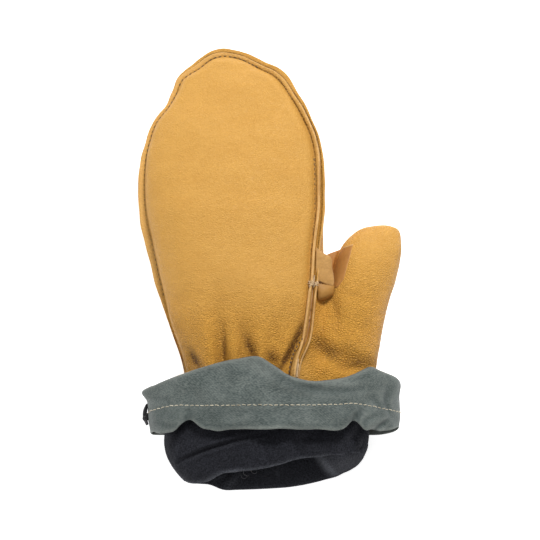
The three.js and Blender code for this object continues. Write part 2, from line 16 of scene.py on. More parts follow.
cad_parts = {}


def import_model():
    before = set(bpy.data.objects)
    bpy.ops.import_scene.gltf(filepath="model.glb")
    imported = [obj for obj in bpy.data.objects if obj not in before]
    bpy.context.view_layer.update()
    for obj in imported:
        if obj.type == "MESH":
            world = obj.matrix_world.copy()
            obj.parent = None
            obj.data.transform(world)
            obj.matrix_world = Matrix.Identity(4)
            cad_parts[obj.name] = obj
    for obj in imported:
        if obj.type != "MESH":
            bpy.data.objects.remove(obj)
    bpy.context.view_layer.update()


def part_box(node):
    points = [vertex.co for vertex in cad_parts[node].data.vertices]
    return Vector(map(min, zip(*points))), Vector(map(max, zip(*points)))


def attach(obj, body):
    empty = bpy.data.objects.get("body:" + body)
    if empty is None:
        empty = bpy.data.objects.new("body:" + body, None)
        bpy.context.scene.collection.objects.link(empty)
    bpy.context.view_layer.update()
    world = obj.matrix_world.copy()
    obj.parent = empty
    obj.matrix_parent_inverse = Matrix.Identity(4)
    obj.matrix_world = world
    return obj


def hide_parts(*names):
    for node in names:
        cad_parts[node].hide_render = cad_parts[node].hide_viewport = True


LOG = logging.getLogger("mitten")
MM = 0.001
UP = np.array([0.0, 0.0, 1.0])
ELEVATION = 80.0
# How far a place seems to move down the picture for each millimetre that it stands up
DRIFT = math.tan(math.radians(90.0 - ELEVATION))
# How far the cuff's middle lies from the hand's centre line, to the thumb's side, in millimetres
CUFF_MIDDLE = 28.0
# The length in millimetres that the rows of the seam's edges are written for
SEAM_ROWS = 530.0


class Layer(Enum):
    """Names of the point attributes and UV maps that the materials read."""

    COARSE = "coarse"
    # Painted shade: how much darker a place is made where shade falls.
    HOLLOW = "hollow"
    # How much lighter a place is made: wear on the canvas, and painted light on the leather's raw edges, on
    # the wool and on the canvas under the hem.
    EDGE = "edge"
    CLOTH = "cloth"
    SEAM = "seam"


class Slot(Enum):
    """The record's material slots."""

    LEATHER = "leather"
    SUEDE = "suede"
    CANVAS = "canvas"
    WOOL = "wool"
    ELASTIC = "elastic"


class Table:
    """Rows of numbers, read along their first column on a smooth curve that never overshoots."""

    def __init__(self, *rows: tuple[float, ...]) -> None:
        """Keeps the rows.

        Args:
            rows: The key and then the values, in rising order of the key.
        """
        data = np.array(rows, float)
        self.key, self.values = data[:, 0], data[:, 1:]
        self.span = np.diff(self.key)[:, None]
        slope = np.diff(self.values, axis=0) / self.span
        before, after = slope[:-1], slope[1:]
        same = before * after > 0
        middle = np.where(same, 2 * before * after / np.where(same, before + after, 1), 0)
        self.tangent = np.concatenate([slope[:1], middle, slope[-1:]])

    def __call__(self, at: np.ndarray | float) -> np.ndarray:
        """Reads the table.

        Args:
            at: Places along the key, and places beyond its ends take the end's row.

        Returns:
            One array for each value column, stacked along the first axis.
        """
        place = np.clip(np.asarray(at, float), self.key[0], self.key[-1])
        row = np.clip(np.searchsorted(self.key, place, side="right") - 1, 0, len(self.span) - 1)
        span = self.span[row]
        t = (place - self.key[row])[..., None] / span
        start, end = self.values[row], self.values[row + 1]
        rise = start + (3 - 2 * t) * t * t * (end - start)
        bend = span * t * (1 - t) * ((1 - t) * self.tangent[row] - t * self.tangent[row + 1])
        return np.moveaxis(rise + bend, -1, 0)


class Ripples:
    """Smooth seeded unevenness, made of plane waves of about one length in every direction."""

    def __init__(self, seed: int, length: float, count: int = 16) -> None:
        """Draws the waves.

        Args:
            seed: The seed of the draw.
            length: The middle wave length in millimetres.
            count: How many waves are added up.
        """
        draw = np.random.default_rng(seed)
        way = draw.normal(size=(count, 3))
        way /= np.linalg.norm(way, axis=1)[:, None]
        self.waves = way * 2 * math.pi / (length * draw.uniform(0.7, 1.5, (count, 1)))
        self.phases = draw.uniform(0, 2 * math.pi, count)

    def __call__(self, points: np.ndarray) -> np.ndarray:
        """Returns the height at each point, about one unit up or down at the most common places."""
        return np.sin(points @ self.waves.T + self.phases).sum(1) / math.sqrt(len(self.phases) / 2)


def smooth_step(value: np.ndarray, start: float, end: float) -> np.ndarray:
    """Returns 0 before start and 1 past end, with a soft change between them."""
    t = np.clip((value - start) / (end - start), 0, 1)
    return t * t * (3 - 2 * t)


def unit(vectors: np.ndarray) -> np.ndarray:
    """Returns the vectors at length 1."""
    return vectors / np.maximum(np.linalg.norm(vectors, axis=-1, keepdims=True), 1e-9)


def between(at: np.ndarray, key: np.ndarray, rows: np.ndarray) -> np.ndarray:
    """Returns rows of values as they are at places between their keys."""
    return np.stack([np.interp(at, key, rows[:, i]) for i in range(rows.shape[1])], -1)


def averaged(rows: np.ndarray, reach: int) -> np.ndarray:
    """Returns rows of values, each one the mean of itself and its neighbours on both sides."""
    wide = np.pad(rows, ((reach, reach), (0, 0)), mode="edge")
    kernel = np.ones(2 * reach + 1) / (2 * reach + 1)
    return np.stack([np.convolve(wide[:, i], kernel, "valid") for i in range(rows.shape[1])], -1)


@contextmanager
def opened(mesh: bpy.types.Mesh) -> Iterator[bmesh.types.BMesh]:
    """Opens a mesh for changes, and writes it back after them."""
    bm = bmesh.new()
    bm.from_mesh(mesh)
    yield bm
    bm.to_mesh(mesh)
    bm.free()
    mesh.update()


def seen_at(points: np.ndarray) -> np.ndarray:
    """Returns how far up the picture each point seems to lie, in millimetres from the wrist."""
    return points[:, 1] + DRIFT * points[:, 2]


def pressed(marks: tuple, points: np.ndarray) -> np.ndarray:
    """Returns how deep the dents and creases are together at each point, in millimetres."""
    return sum(mark.amount(points[:, 0], seen_at(points)) for mark in marks)


def oval(angle: np.ndarray, sides: tuple, heights: tuple, powers: tuple) -> tuple[np.ndarray, np.ndarray]:
    """Works out an oval section whose underside may be squarer than its top.

    Args:
        angle: Angles from the thumb's side over the top.
        sides: Where its left and right ends are.
        heights: The heights of its top, its widest place and its base.
        powers: How square the top and the underside are, where 2 is round.

    Returns:
        Places across and heights.
    """
    (left, right), (top, waist, base), (upper, lower) = sides, heights, powers
    c, s = np.cos(angle), np.sin(angle)
    power = np.where(s > 0, upper, lower)
    x = (left + right) / 2 + (right - left) / 2 * np.sign(c) * np.abs(c) ** (2 / power)
    up = waist + (top - waist) * np.abs(s) ** (2 / upper)
    down = waist - (waist - base) * np.abs(s) ** (2 / lower)
    return x, np.where(s > 0, up, down)


def arch_over(x: np.ndarray, middle: np.ndarray, half: np.ndarray, rise: tuple, power: float) -> np.ndarray:
    """Works out how high an oval's top is at places across it.

    Args:
        x: The places.
        middle: The oval's middle.
        half: Half its width.
        rise: The heights of its top and its widest place.
        power: How square it is.

    Returns:
        Heights, which are those of the widest place beyond its ends.
    """
    top, waist = rise
    out = np.clip(np.abs(x - middle) / np.maximum(half, 1e-6), 0, 1)
    return waist + (top - waist) * (1 - out ** power) ** (1 / power)


@dataclass(frozen=True)
class Dent:
    """A soft dent, or a bulge where its depth is negative, seen from the camera.

    Its places are millimetres from the hand's centre line and, up the picture, from the wrist.
    """

    x: float
    seen: float
    along: float
    across: float
    depth: float
    turn: float = 0.0

    def amount(self, x: np.ndarray, seen: np.ndarray) -> np.ndarray:
        """Returns how deep it is at each place, in millimetres."""
        c, s = math.cos(math.radians(self.turn)), math.sin(math.radians(self.turn))
        u = ((x - self.x) * c + (seen - self.seen) * s) / self.along
        v = ((seen - self.seen) * c - (x - self.x) * s) / self.across
        return self.depth * np.exp(-u * u - v * v)


@dataclass(frozen=True)
class Crease:
    """A line pressed into a sheet, with a soft swell beside it, that fades out at both ends."""

    places: tuple[tuple[float, float], ...]
    depth: float
    breadth: float
    swell: float = 0.35

    def amount(self, x: np.ndarray, seen: np.ndarray) -> np.ndarray:
        """Returns how deep it is at each place, in millimetres."""
        line = np.array(self.places, float)
        best = np.full(x.shape, 1e9)
        share = np.zeros(x.shape)
        lengths = np.linalg.norm(np.diff(line, axis=0), axis=1)
        total, done = lengths.sum(), 0.0
        for start, end, length in zip(line[:-1], line[1:], lengths):
            way = (end - start) / length
            t = np.clip((x - start[0]) * way[0] + (seen - start[1]) * way[1], 0, length)
            gap = np.hypot(x - start[0] - way[0] * t, seen - start[1] - way[1] * t)
            share = np.where(gap < best, (done + t) / total, share)
            best = np.minimum(best, gap)
            done += length
        fade = np.sin(np.clip(share, 0.04, 0.96) * math.pi) ** 0.6
        near = best / self.breadth
        return self.depth * fade * (np.exp(-near * near) - self.swell * np.exp(-((near - 2.1) ** 2)))


@dataclass
class Bench:
    """Where the mitten lies, its materials, and the ways in which its pieces are made into objects."""

    left: float
    wrist: float
    finishes: "Finishes"

    @classmethod
    def from_frame(cls, finishes: "Finishes") -> "Bench":
        """Returns a bench with the materials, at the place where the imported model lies."""
        cuff_low, cuff_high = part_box("cuff")
        palm_low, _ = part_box("palm_panel")
        left = (cuff_low.x + cuff_high.x) / 2 / MM - CUFF_MIDDLE
        return cls(left=left, wrist=palm_low.y / MM, finishes=finishes)

    def metres(self, points: np.ndarray) -> np.ndarray:
        """Returns design millimetres as metres in the shared frame."""
        return (np.asarray(points, float) + (self.left, self.wrist, 0.0)) * MM

    def millimetres(self, points: np.ndarray) -> np.ndarray:
        """Returns metres in the shared frame as design millimetres."""
        return np.asarray(points, float) / MM - (self.left, self.wrist, 0.0)

    def vectors(self, mesh: bpy.types.Mesh, key: str) -> np.ndarray:
        """Returns a vector of each of the mesh's vertices, such as its normal, as it is stored."""
        flat = np.empty(len(mesh.vertices) * 3)
        mesh.vertices.foreach_get(key, flat)
        return flat.reshape(-1, 3)

    def places(self, mesh: bpy.types.Mesh) -> np.ndarray:
        """Returns the mesh's vertices in design millimetres."""
        return self.millimetres(self.vectors(mesh, "co"))

    def move(self, mesh: bpy.types.Mesh, points: np.ndarray) -> None:
        """Puts the mesh's vertices at these design millimetres."""
        mesh.vertices.foreach_set("co", self.metres(points).ravel())
        mesh.update()

    def sheet(self, name: str, columns: int, rows: int, place: Callable, size: tuple[float, float],
              closed: bool = False) -> bpy.types.Object:
        """Makes a sheet of cloth or leather from a grid.

        Args:
            name: The object's name.
            columns: Faces along the grid's first way.
            rows: Faces along the grid's second way.
            place: Gives a point in design millimetres for each pair of shares from 0 to 1.
            size: The sheet's flat size in millimetres, for its UV map.
            closed: Whether the first way goes round and closes on itself.

        Returns:
            The new object, with a UV map in metres.
        """
        mesh = bpy.data.meshes.new(name)
        with opened(mesh) as bm:
            bmesh.ops.create_grid(bm, x_segments=columns, y_segments=rows, size=0.5)
        shares = self.vectors(mesh, "co")[:, :2] + 0.5
        self.map_uv(mesh, Layer.CLOTH, shares * size * MM)
        self.move(mesh, place(shares[:, 0], shares[:, 1]))
        if closed:
            with opened(mesh) as bm:
                bmesh.ops.remove_doubles(bm, verts=bm.verts, dist=2e-6)
        return self.object(name, mesh)

    def corners(self, mesh: bpy.types.Mesh) -> np.ndarray:
        """Returns the vertex of each of the mesh's face corners."""
        corner = np.empty(len(mesh.loops), np.int32)
        mesh.loops.foreach_get("vertex_index", corner)
        return corner

    def map_uv(self, mesh: bpy.types.Mesh, layer: Layer, values: np.ndarray) -> None:
        """Gives each vertex's pair of values to all its corners in one UV map."""
        found = mesh.uv_layers.get(layer.value) or mesh.uv_layers.new(name=layer.value)
        found.data.foreach_set("uv", values[self.corners(mesh)].astype(np.float32).ravel())

    def shares(self, mesh: bpy.types.Mesh, size: tuple[float, float]) -> np.ndarray:
        """Reads each vertex's place on its flat cloth back from the UV map.

        Args:
            mesh: A mesh made by sheet.
            size: The flat size in millimetres that it was made with.

        Returns:
            Shares from 0 to 1 round and along the cloth.
        """
        flat = np.empty(len(mesh.loops) * 2)
        mesh.uv_layers[Layer.CLOTH.value].data.foreach_get("uv", flat)
        found = np.zeros((len(mesh.vertices), 2))
        found[self.corners(mesh)] = flat.reshape(-1, 2) / MM / size
        return found

    def paint(self, mesh: bpy.types.Mesh, layer: Layer, values: np.ndarray) -> None:
        """Writes one number for each vertex into a point attribute."""
        found = mesh.attributes.get(layer.value) or mesh.attributes.new(layer.value, "FLOAT", "POINT")
        found.data.foreach_set("value", np.clip(values, 0, 1).astype(np.float32))

    def shade(self, mesh: bpy.types.Mesh) -> None:
        """Shades the mesh smoothly."""
        mesh.polygons.foreach_set("use_smooth", [True] * len(mesh.polygons))

    def object(self, name: str, mesh: bpy.types.Mesh) -> bpy.types.Object:
        """Links a mesh into the scene as a smooth object."""
        self.shade(mesh)
        made = bpy.data.objects.new(name, mesh)
        bpy.context.scene.collection.objects.link(made)
        return made

    def even(self, mesh: bpy.types.Mesh) -> None:
        """Turns all the mesh's faces the same way round."""
        with opened(mesh) as bm:
            bmesh.ops.recalc_face_normals(bm, faces=bm.faces)

    def turn_up(self, mesh: bpy.types.Mesh) -> None:
        """Turns an open sheet's faces upwards, on average."""
        if sum(p.normal.z * p.area for p in mesh.polygons) < 0:
            mesh.flip_normals()

    def thicken(self, made: bpy.types.Object, thickness: float, edge: int = 0, levels: int = 1) -> None:
        """Gives a sheet its thickness, inwards, and rounds it.

        Args:
            made: The sheet.
            thickness: In millimetres.
            edge: The material's offset on the cut edge.
            levels: Subdivision levels, none where it is 0.
        """
        wall = made.modifiers.new("thickness", "SOLIDIFY")
        wall.thickness = thickness * MM
        wall.offset = -1.0
        wall.use_even_offset = False
        wall.use_quality_normals = True
        wall.material_offset_rim = edge
        if levels:
            round_off = made.modifiers.new("rounding", "SUBSURF")
            round_off.levels = round_off.render_levels = levels

    def applied(self, made: bpy.types.Object) -> bpy.types.Mesh:
        """Returns a new mesh with the object's modifiers applied, and takes them off the object."""
        view = bpy.context.evaluated_depsgraph_get()
        view.update()
        mesh = bpy.data.meshes.new_from_object(made.evaluated_get(view))
        made.modifiers.clear()
        made.data = mesh
        return mesh

    def tubes(self, name: str, runs: list[np.ndarray], radius: float, sides: int = 2,
              tips: float = 1.0) -> bpy.types.Object:
        """Makes threads or cords along runs of points.

        Args:
            name: The object's name.
            runs: Arrays of points in design millimetres.
            radius: In millimetres.
            sides: The bevel's resolution.
            tips: The share of the radius at both ends of each run.

        Returns:
            The new mesh object.
        """
        curve = bpy.data.curves.new(name, "CURVE")
        curve.dimensions = "3D"
        curve.bevel_depth = radius * MM
        curve.bevel_resolution = sides
        curve.use_fill_caps = True
        for run in runs:
            spline = curve.splines.new("POLY")
            spline.points.add(len(run) - 1)
            for spot, place in zip(spline.points, self.metres(run)):
                spot.co = (*place, 1.0)
            spline.points[0].radius = spline.points[-1].radius = tips
        drawn = bpy.data.objects.new(name + ".drawn", curve)
        bpy.context.scene.collection.objects.link(drawn)
        bpy.context.view_layer.update()
        mesh = bpy.data.meshes.new_from_object(drawn.evaluated_get(bpy.context.evaluated_depsgraph_get()))
        bpy.data.objects.remove(drawn)
        mesh.name = name
        return self.object(name, mesh)

    def beads(self, name: str, places: np.ndarray, along: np.ndarray, up: np.ndarray,
              size: tuple[float, float, float]) -> bpy.types.Object:
        """Makes one small stretched ball for each stitch.

        Args:
            name: The object's name.
            places: The stitches' middles in design millimetres.
            along: The way that each stitch runs.
            up: The way out of the sheet at each stitch.
            size: Half length, half width and half height in millimetres.

        Returns:
            The new mesh object.
        """
        mesh = bpy.data.meshes.new(name)
        spread = Matrix.Diagonal((*(s * MM for s in size), 1.0))
        with opened(mesh) as bm:
            for place, way, out in zip(self.metres(places), unit(along), unit(up)):
                x = Vector(way)
                z = (Vector(out) - x * x.dot(Vector(out))).normalized()
                turn = Matrix((x, z.cross(x), z)).transposed().to_4x4()
                bmesh.ops.create_uvsphere(bm, u_segments=8, v_segments=5, radius=1.0,
                                          matrix=Matrix.Translation(place) @ turn @ spread)
        return self.object(name, mesh)

    def dress(self, made: bpy.types.Object, slot: Slot, *finishes: bpy.types.Material) -> bpy.types.Object:
        """Gives a finished piece its materials and the body that it rides on."""
        made.data.materials.clear()
        for finish in finishes:
            made.data.materials.append(finish)
        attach(made, "root")
        return made


class Surface:
    """A finished piece's outside, on which smaller pieces are laid."""

    def __init__(self, bench: Bench, *pieces: bpy.types.Object) -> None:
        """Collects the faces of the pieces as they are shown.

        Args:
            bench: The bench that made them.
            pieces: One or more objects.
        """
        self.bench = bench
        points: list[Vector] = []
        faces: list[list[int]] = []
        view = bpy.context.evaluated_depsgraph_get()
        view.update()
        for piece in pieces:
            mesh = piece.evaluated_get(view).to_mesh()
            start = len(points)
            points.extend(v.co.copy() for v in mesh.vertices)
            faces.extend([start + i for i in p.vertices] for p in mesh.polygons)
        self.tree = BVHTree.FromPolygons(points, faces)

    def seen(self, x: float, seen: float, lift: float = 0.0) -> tuple[np.ndarray, np.ndarray]:
        """Finds what the camera sees at a place in the picture.

        Args:
            x: Millimetres from the hand's centre line.
            seen: Millimetres up the picture from the wrist.
            lift: How far off the surface the answer lies, in millimetres.

        Returns:
            The point in design millimetres and the surface's normal there.
        """
        above, usual = (Vector(self.bench.metres((x, seen - DRIFT * z, z))) for z in (90.0, 18.0))
        hit, normal, _, _ = self.tree.ray_cast(above, Vector((0, DRIFT, -1)).normalized())
        if hit is None:
            hit, normal, _, _ = self.tree.find_nearest(usual)
        if normal.z < 0:
            normal = -normal
        return self.bench.millimetres(hit) + np.array(normal) * lift, np.array(normal)

    def run(self, places: np.ndarray, lift: float) -> np.ndarray:
        """Returns the seen places as points on the surface."""
        return np.array([self.seen(x, y, lift)[0] for x, y in places])


class Graph:
    """A node tree that nodes are added to in one line each."""

    def __init__(self, tree: bpy.types.NodeTree) -> None:
        """Keeps the tree."""
        self.tree = tree

    def add(self, kind: str, inputs: dict | None = None, **settings: object) -> bpy.types.Node:
        """Adds a node.

        Args:
            kind: The node's type without the prefix ShaderNode.
            inputs: Sockets to join or values to set, by the input's name or number.
            settings: The node's own settings.

        Returns:
            The new node.
        """
        node = self.tree.nodes.new("ShaderNode" + kind)
        for key, value in settings.items():
            setattr(node, key, value)
        return self.fill(node, inputs or {})

    def fill(self, node: bpy.types.Node, inputs: dict) -> bpy.types.Node:
        """Joins or sets a node's inputs.

        Args:
            node: The node.
            inputs: Sockets to join or values to set, by the input's name or number.

        Returns:
            The same node.
        """
        for key, value in inputs.items():
            if isinstance(value, bpy.types.NodeSocket):
                self.tree.links.new(value, node.inputs[key])
            else:
                node.inputs[key].default_value = value
        return node

    def group(self, tree: bpy.types.NodeTree, **inputs: object) -> bpy.types.NodeOutputs:
        """Places a shared node group and returns its outputs."""
        return self.add("Group", inputs, node_tree=tree).outputs

    def place(self) -> bpy.types.NodeSocket:
        """Returns the place on the object."""
        return self.add("TexCoord").outputs["Object"]

    def painted(self, layer: Layer) -> bpy.types.NodeSocket:
        """Returns what is painted in a point attribute."""
        return self.add("Attribute", attribute_name=layer.value).outputs["Fac"]

    def math(self, operation: str, *values: object) -> bpy.types.NodeSocket:
        """Returns the result of a Math node."""
        return self.add("Math", dict(enumerate(values)), operation=operation).outputs[0]

    def times(self, first: object, second: object) -> bpy.types.NodeSocket:
        """Returns the product of two values."""
        return self.math("MULTIPLY", first, second)

    def blend(self, factor: object, first: object, second: object, mode: str = "MIX") -> bpy.types.NodeSocket:
        """Returns two colours mixed."""
        return self.add("Mix", {0: factor, 6: first, 7: second}, data_type="RGBA", blend_type=mode).outputs[2]

    def span(self, value: object, low: float, high: float, start: float = 0.0,
             end: float = 1.0) -> bpy.types.NodeSocket:
        """Returns a value moved from one range to another, and kept inside it."""
        return self.add("MapRange", {0: value, 1: low, 2: high, 3: start, 4: end}).outputs[0]

    def noise(self, where: object, scale: float, detail: float = 2.0,
              name: str = "Fac") -> bpy.types.NodeSocket:
        """Returns a noise texture's value or colour."""
        return self.add("TexNoise", {"Vector": where, "Scale": scale, "Detail": detail}).outputs[name]

    def bump(self, height: object, strength: float, distance: float,
             under: object = None) -> bpy.types.NodeSocket:
        """Returns a bumped normal, on top of another one if it is given."""
        inputs = {"Height": height, "Strength": strength, "Distance": distance}
        if under is not None:
            inputs["Normal"] = under
        return self.add("Bump", inputs).outputs[0]


def shared_group(name: str, inputs: dict[str, float | None],
                 outputs: tuple[str, ...]) -> tuple[Graph, dict, Callable]:
    """Starts a node group.

    Args:
        name: The group's name.
        inputs: Input names and defaults, where None makes a vector.
        outputs: Names of the output values.

    Returns:
        The graph, the inputs' sockets by name, and a call that joins an output by name.
    """
    tree = bpy.data.node_groups.new(name, "ShaderNodeTree")
    for key, value in inputs.items():
        kind = "NodeSocketVector" if value is None else "NodeSocketFloat"
        socket = tree.interface.new_socket(name=key, in_out="INPUT", socket_type=kind)
        if value is not None:
            socket.default_value = value
    for key in outputs:
        tree.interface.new_socket(name=key, in_out="OUTPUT", socket_type="NodeSocketFloat")
    source, sink = tree.nodes.new("NodeGroupInput"), tree.nodes.new("NodeGroupOutput")
    return Graph(tree), source.outputs, lambda key, value: tree.links.new(value, sink.inputs[key])


def grain_group() -> bpy.types.NodeTree:
    """Makes the pebbled grain of leather.

    Returns:
        A group that gives the grain's height and its valleys.
    """
    graph, given, give = shared_group("hide_grain", {"Vector": None, "Cell": 700.0}, ("Height", "Valley"))
    warp = graph.noise(given["Vector"], 420.0, name="Color")
    where = graph.add("VectorMath", {0: warp, 1: (0.0011,) * 3, 2: given["Vector"]},
                      operation="MULTIPLY_ADD").outputs[0]
    pebble = graph.add("TexVoronoi", {"Vector": where, "Scale": given["Cell"], "Smoothness": 0.35},
                       feature="SMOOTH_F1").outputs["Distance"]
    border = graph.add("TexVoronoi", {"Vector": where, "Scale": given["Cell"]},
                       feature="DISTANCE_TO_EDGE").outputs["Distance"]
    large = graph.noise(given["Vector"], 160.0)
    flank = graph.span(border, 0.0, 0.28)
    body = graph.times(graph.math("SUBTRACT", 1.0, pebble), 0.6)
    give("Height", graph.math("ADD", body, graph.times(flank, 0.4)))
    shown = graph.span(large, 0.35, 0.62, 0.45, 1.0)
    give("Valley", graph.times(graph.span(border, 0.02, 0.24, 1.0, 0.0), shown))
    return graph.tree


def mottle_group() -> bpy.types.NodeTree:
    """Makes soft uneven patches of three sizes.

    Returns:
        A group that gives the patches as a mask around one half.
    """
    graph, given, give = shared_group("soft_patches", {"Vector": None, "Scale": 30.0}, ("Patches",))
    parts = []
    for times, weight in ((1.0, 0.5), (3.1, 0.3), (9.7, 0.2)):
        scale = graph.times(given["Scale"], times)
        parts.append(graph.times(graph.noise(given["Vector"], scale, 3.0), weight))
    give("Patches", graph.math("ADD", graph.math("ADD", parts[0], parts[1]), parts[2]))
    return graph.tree


def weave_group() -> bpy.types.NodeTree:
    """Makes a plain weave on the cloth's own UV map.

    Returns:
        A group that gives the threads' height.
    """
    graph, given, give = shared_group("plain_weave", {"Vector": None, "Threads": 1900.0}, ("Height",))
    ways = graph.add("SeparateXYZ", {0: given["Vector"]}).outputs
    turn = graph.times(given["Threads"], math.pi)
    warp = graph.math("SINE", graph.times(ways[0], turn))
    weft = graph.math("SINE", graph.times(ways[1], turn))
    give("Height", graph.span(graph.times(warp, weft), -1.0, 1.0))
    return graph.tree


@dataclass(frozen=True)
class HideFinish:
    """Yellow leather: its colours, grain and sheen, with painted shade in its dents and along the seam,
    painted light on the seam's raw edges, and a warm tint for the shaded look of its coarse parts.
    """

    name: str
    colour: tuple[float, float, float] = (0.655, 0.362, 0.084)
    warm: tuple[float, float, float] = (0.565, 0.288, 0.056)
    valley: tuple[float, float, float] = (0.30, 0.130, 0.024)
    # The colour of the painted shade in dents, gathers and along the seam.
    hollow: tuple[float, float, float] = (0.120, 0.050, 0.007)
    # A warm tint for the coarse leather, which stands in for the warmer look of its shaded parts.
    wear_and_painted_light_tone: tuple[float, float, float] = (1.15, 1.06, 0.72)
    # The colour of the painted light on the faces of the seam's raw edges.
    rubbing_and_painted_light: tuple[float, float, float] = (0.80, 0.50, 0.19)
    cell: float = 900.0
    pitch: float = 3.4
    stitched: bool = False

    def make(self, grain: bpy.types.NodeTree, patches: bpy.types.NodeTree) -> bpy.types.Material:
        """Builds the material.

        Args:
            grain: The shared grain group.
            patches: The shared group of patches.

        Returns:
            The material.
        """
        made, graph, shader = new_material(self.name)
        place = graph.place()
        drawn = graph.add("Mapping", {"Vector": place, "Scale": (0.68, 1.35, 1.0)}).outputs[0]
        pebble_height, pebble_valley = graph.group(grain, Vector=drawn, Cell=self.cell)
        tone = graph.group(patches, Vector=drawn, Scale=55.0)[0]
        speck = graph.noise(drawn, 1000.0, 3.0)
        coarse = graph.painted(Layer.COARSE)
        hollow = graph.painted(Layer.HOLLOW)
        fine = graph.span(speck, 0.34, 0.66, 0.0, 0.6)
        mixed = graph.math("ADD", graph.span(tone, 0.32, 0.68, 0.0, 0.4), fine)
        colour = graph.blend(mixed, (*self.colour, 1), (*self.warm, 1))
        # Tints the coarse leather warmer, standing in for how its shade looks.
        colour = graph.blend(coarse, colour, graph.blend(1.0, colour, (*self.wear_and_painted_light_tone, 1), "MULTIPLY"))
        valley = graph.times(pebble_valley, graph.span(coarse, 0, 1, 0.14, 0.50))
        colour = graph.blend(valley, colour, (*self.valley, 1))
        # Painted light on the raw edges' faces.
        colour = graph.blend(graph.painted(Layer.EDGE), colour, (*self.rubbing_and_painted_light, 1))
        # Painted shade, deeper in the grain's valleys.
        sunk = graph.times(hollow, graph.span(pebble_height, 0.4, 0.85, 1.55, 0.65))
        colour = graph.blend(sunk, colour, (*self.hollow, 1))
        height = graph.times(pebble_height, graph.span(coarse, 0, 1, 0.30, 1.25))
        normal = graph.bump(graph.noise(drawn, 330.0, 4.0), 0.22, 0.0008)
        if self.stitched:
            normal = graph.bump(self.puckers(graph), 0.3, 0.0005, normal)
        normal = graph.bump(height, 0.75, 0.0011, normal)
        rough = graph.span(tone, 0.35, 0.65, 0.5, 0.62)
        graph.fill(shader, {"Base Color": colour, "Normal": normal, "Roughness": rough,
                            "Specular IOR Level": 0.26})
        return made

    def puckers(self, graph: Graph) -> bpy.types.NodeSocket:
        """Returns the small pulls beside the seam, one at each stitch."""
        seam = graph.add("UVMap", uv_map=Layer.SEAM.value).outputs[0]
        ways = graph.add("SeparateXYZ", {0: seam}).outputs
        wave = graph.math("COSINE", graph.times(ways[0], 2 * math.pi / (self.pitch * MM)))
        near = graph.span(graph.math("ABSOLUTE", ways[1]), 0.0002, 0.0030, 1.0, 0.0)
        return graph.times(wave, graph.times(near, near))


def new_material(name: str) -> tuple[bpy.types.Material, Graph, bpy.types.Node]:
    """Starts a material.

    Args:
        name: The material's name.

    Returns:
        The material, its graph and its Principled BSDF.
    """
    made = bpy.data.materials.new(name)
    made.use_nodes = True
    graph = Graph(made.node_tree)
    return made, graph, made.node_tree.nodes["Principled BSDF"]


@dataclass(frozen=True)
class NapFinish:
    """A dry fibrous surface: cut edges, flesh-side leather, thread or elastic."""

    name: str
    colour: tuple[float, float, float]
    other: tuple[float, float, float]
    fibre: float = 900.0
    relief: float = 0.0004
    roughness: float = 0.85
    sheen: float = 0.15

    def make(self, patches: bpy.types.NodeTree) -> bpy.types.Material:
        """Builds the material.

        Args:
            patches: The shared group of patches.

        Returns:
            The material.
        """
        made, graph, shader = new_material(self.name)
        place = graph.place()
        tone = graph.group(patches, Vector=place, Scale=self.fibre / 8)[0]
        colour = graph.blend(graph.span(tone, 0.4, 0.6), (*self.colour, 1), (*self.other, 1))
        nap = graph.noise(place, self.fibre, 4.0)
        normal = graph.bump(nap, 0.8, self.relief)
        rough = graph.span(nap, 0.3, 0.7, self.roughness - 0.08, self.roughness + 0.08)
        graph.fill(shader, {"Base Color": colour, "Normal": normal, "Roughness": rough,
                            "Sheen Weight": self.sheen})
        return made


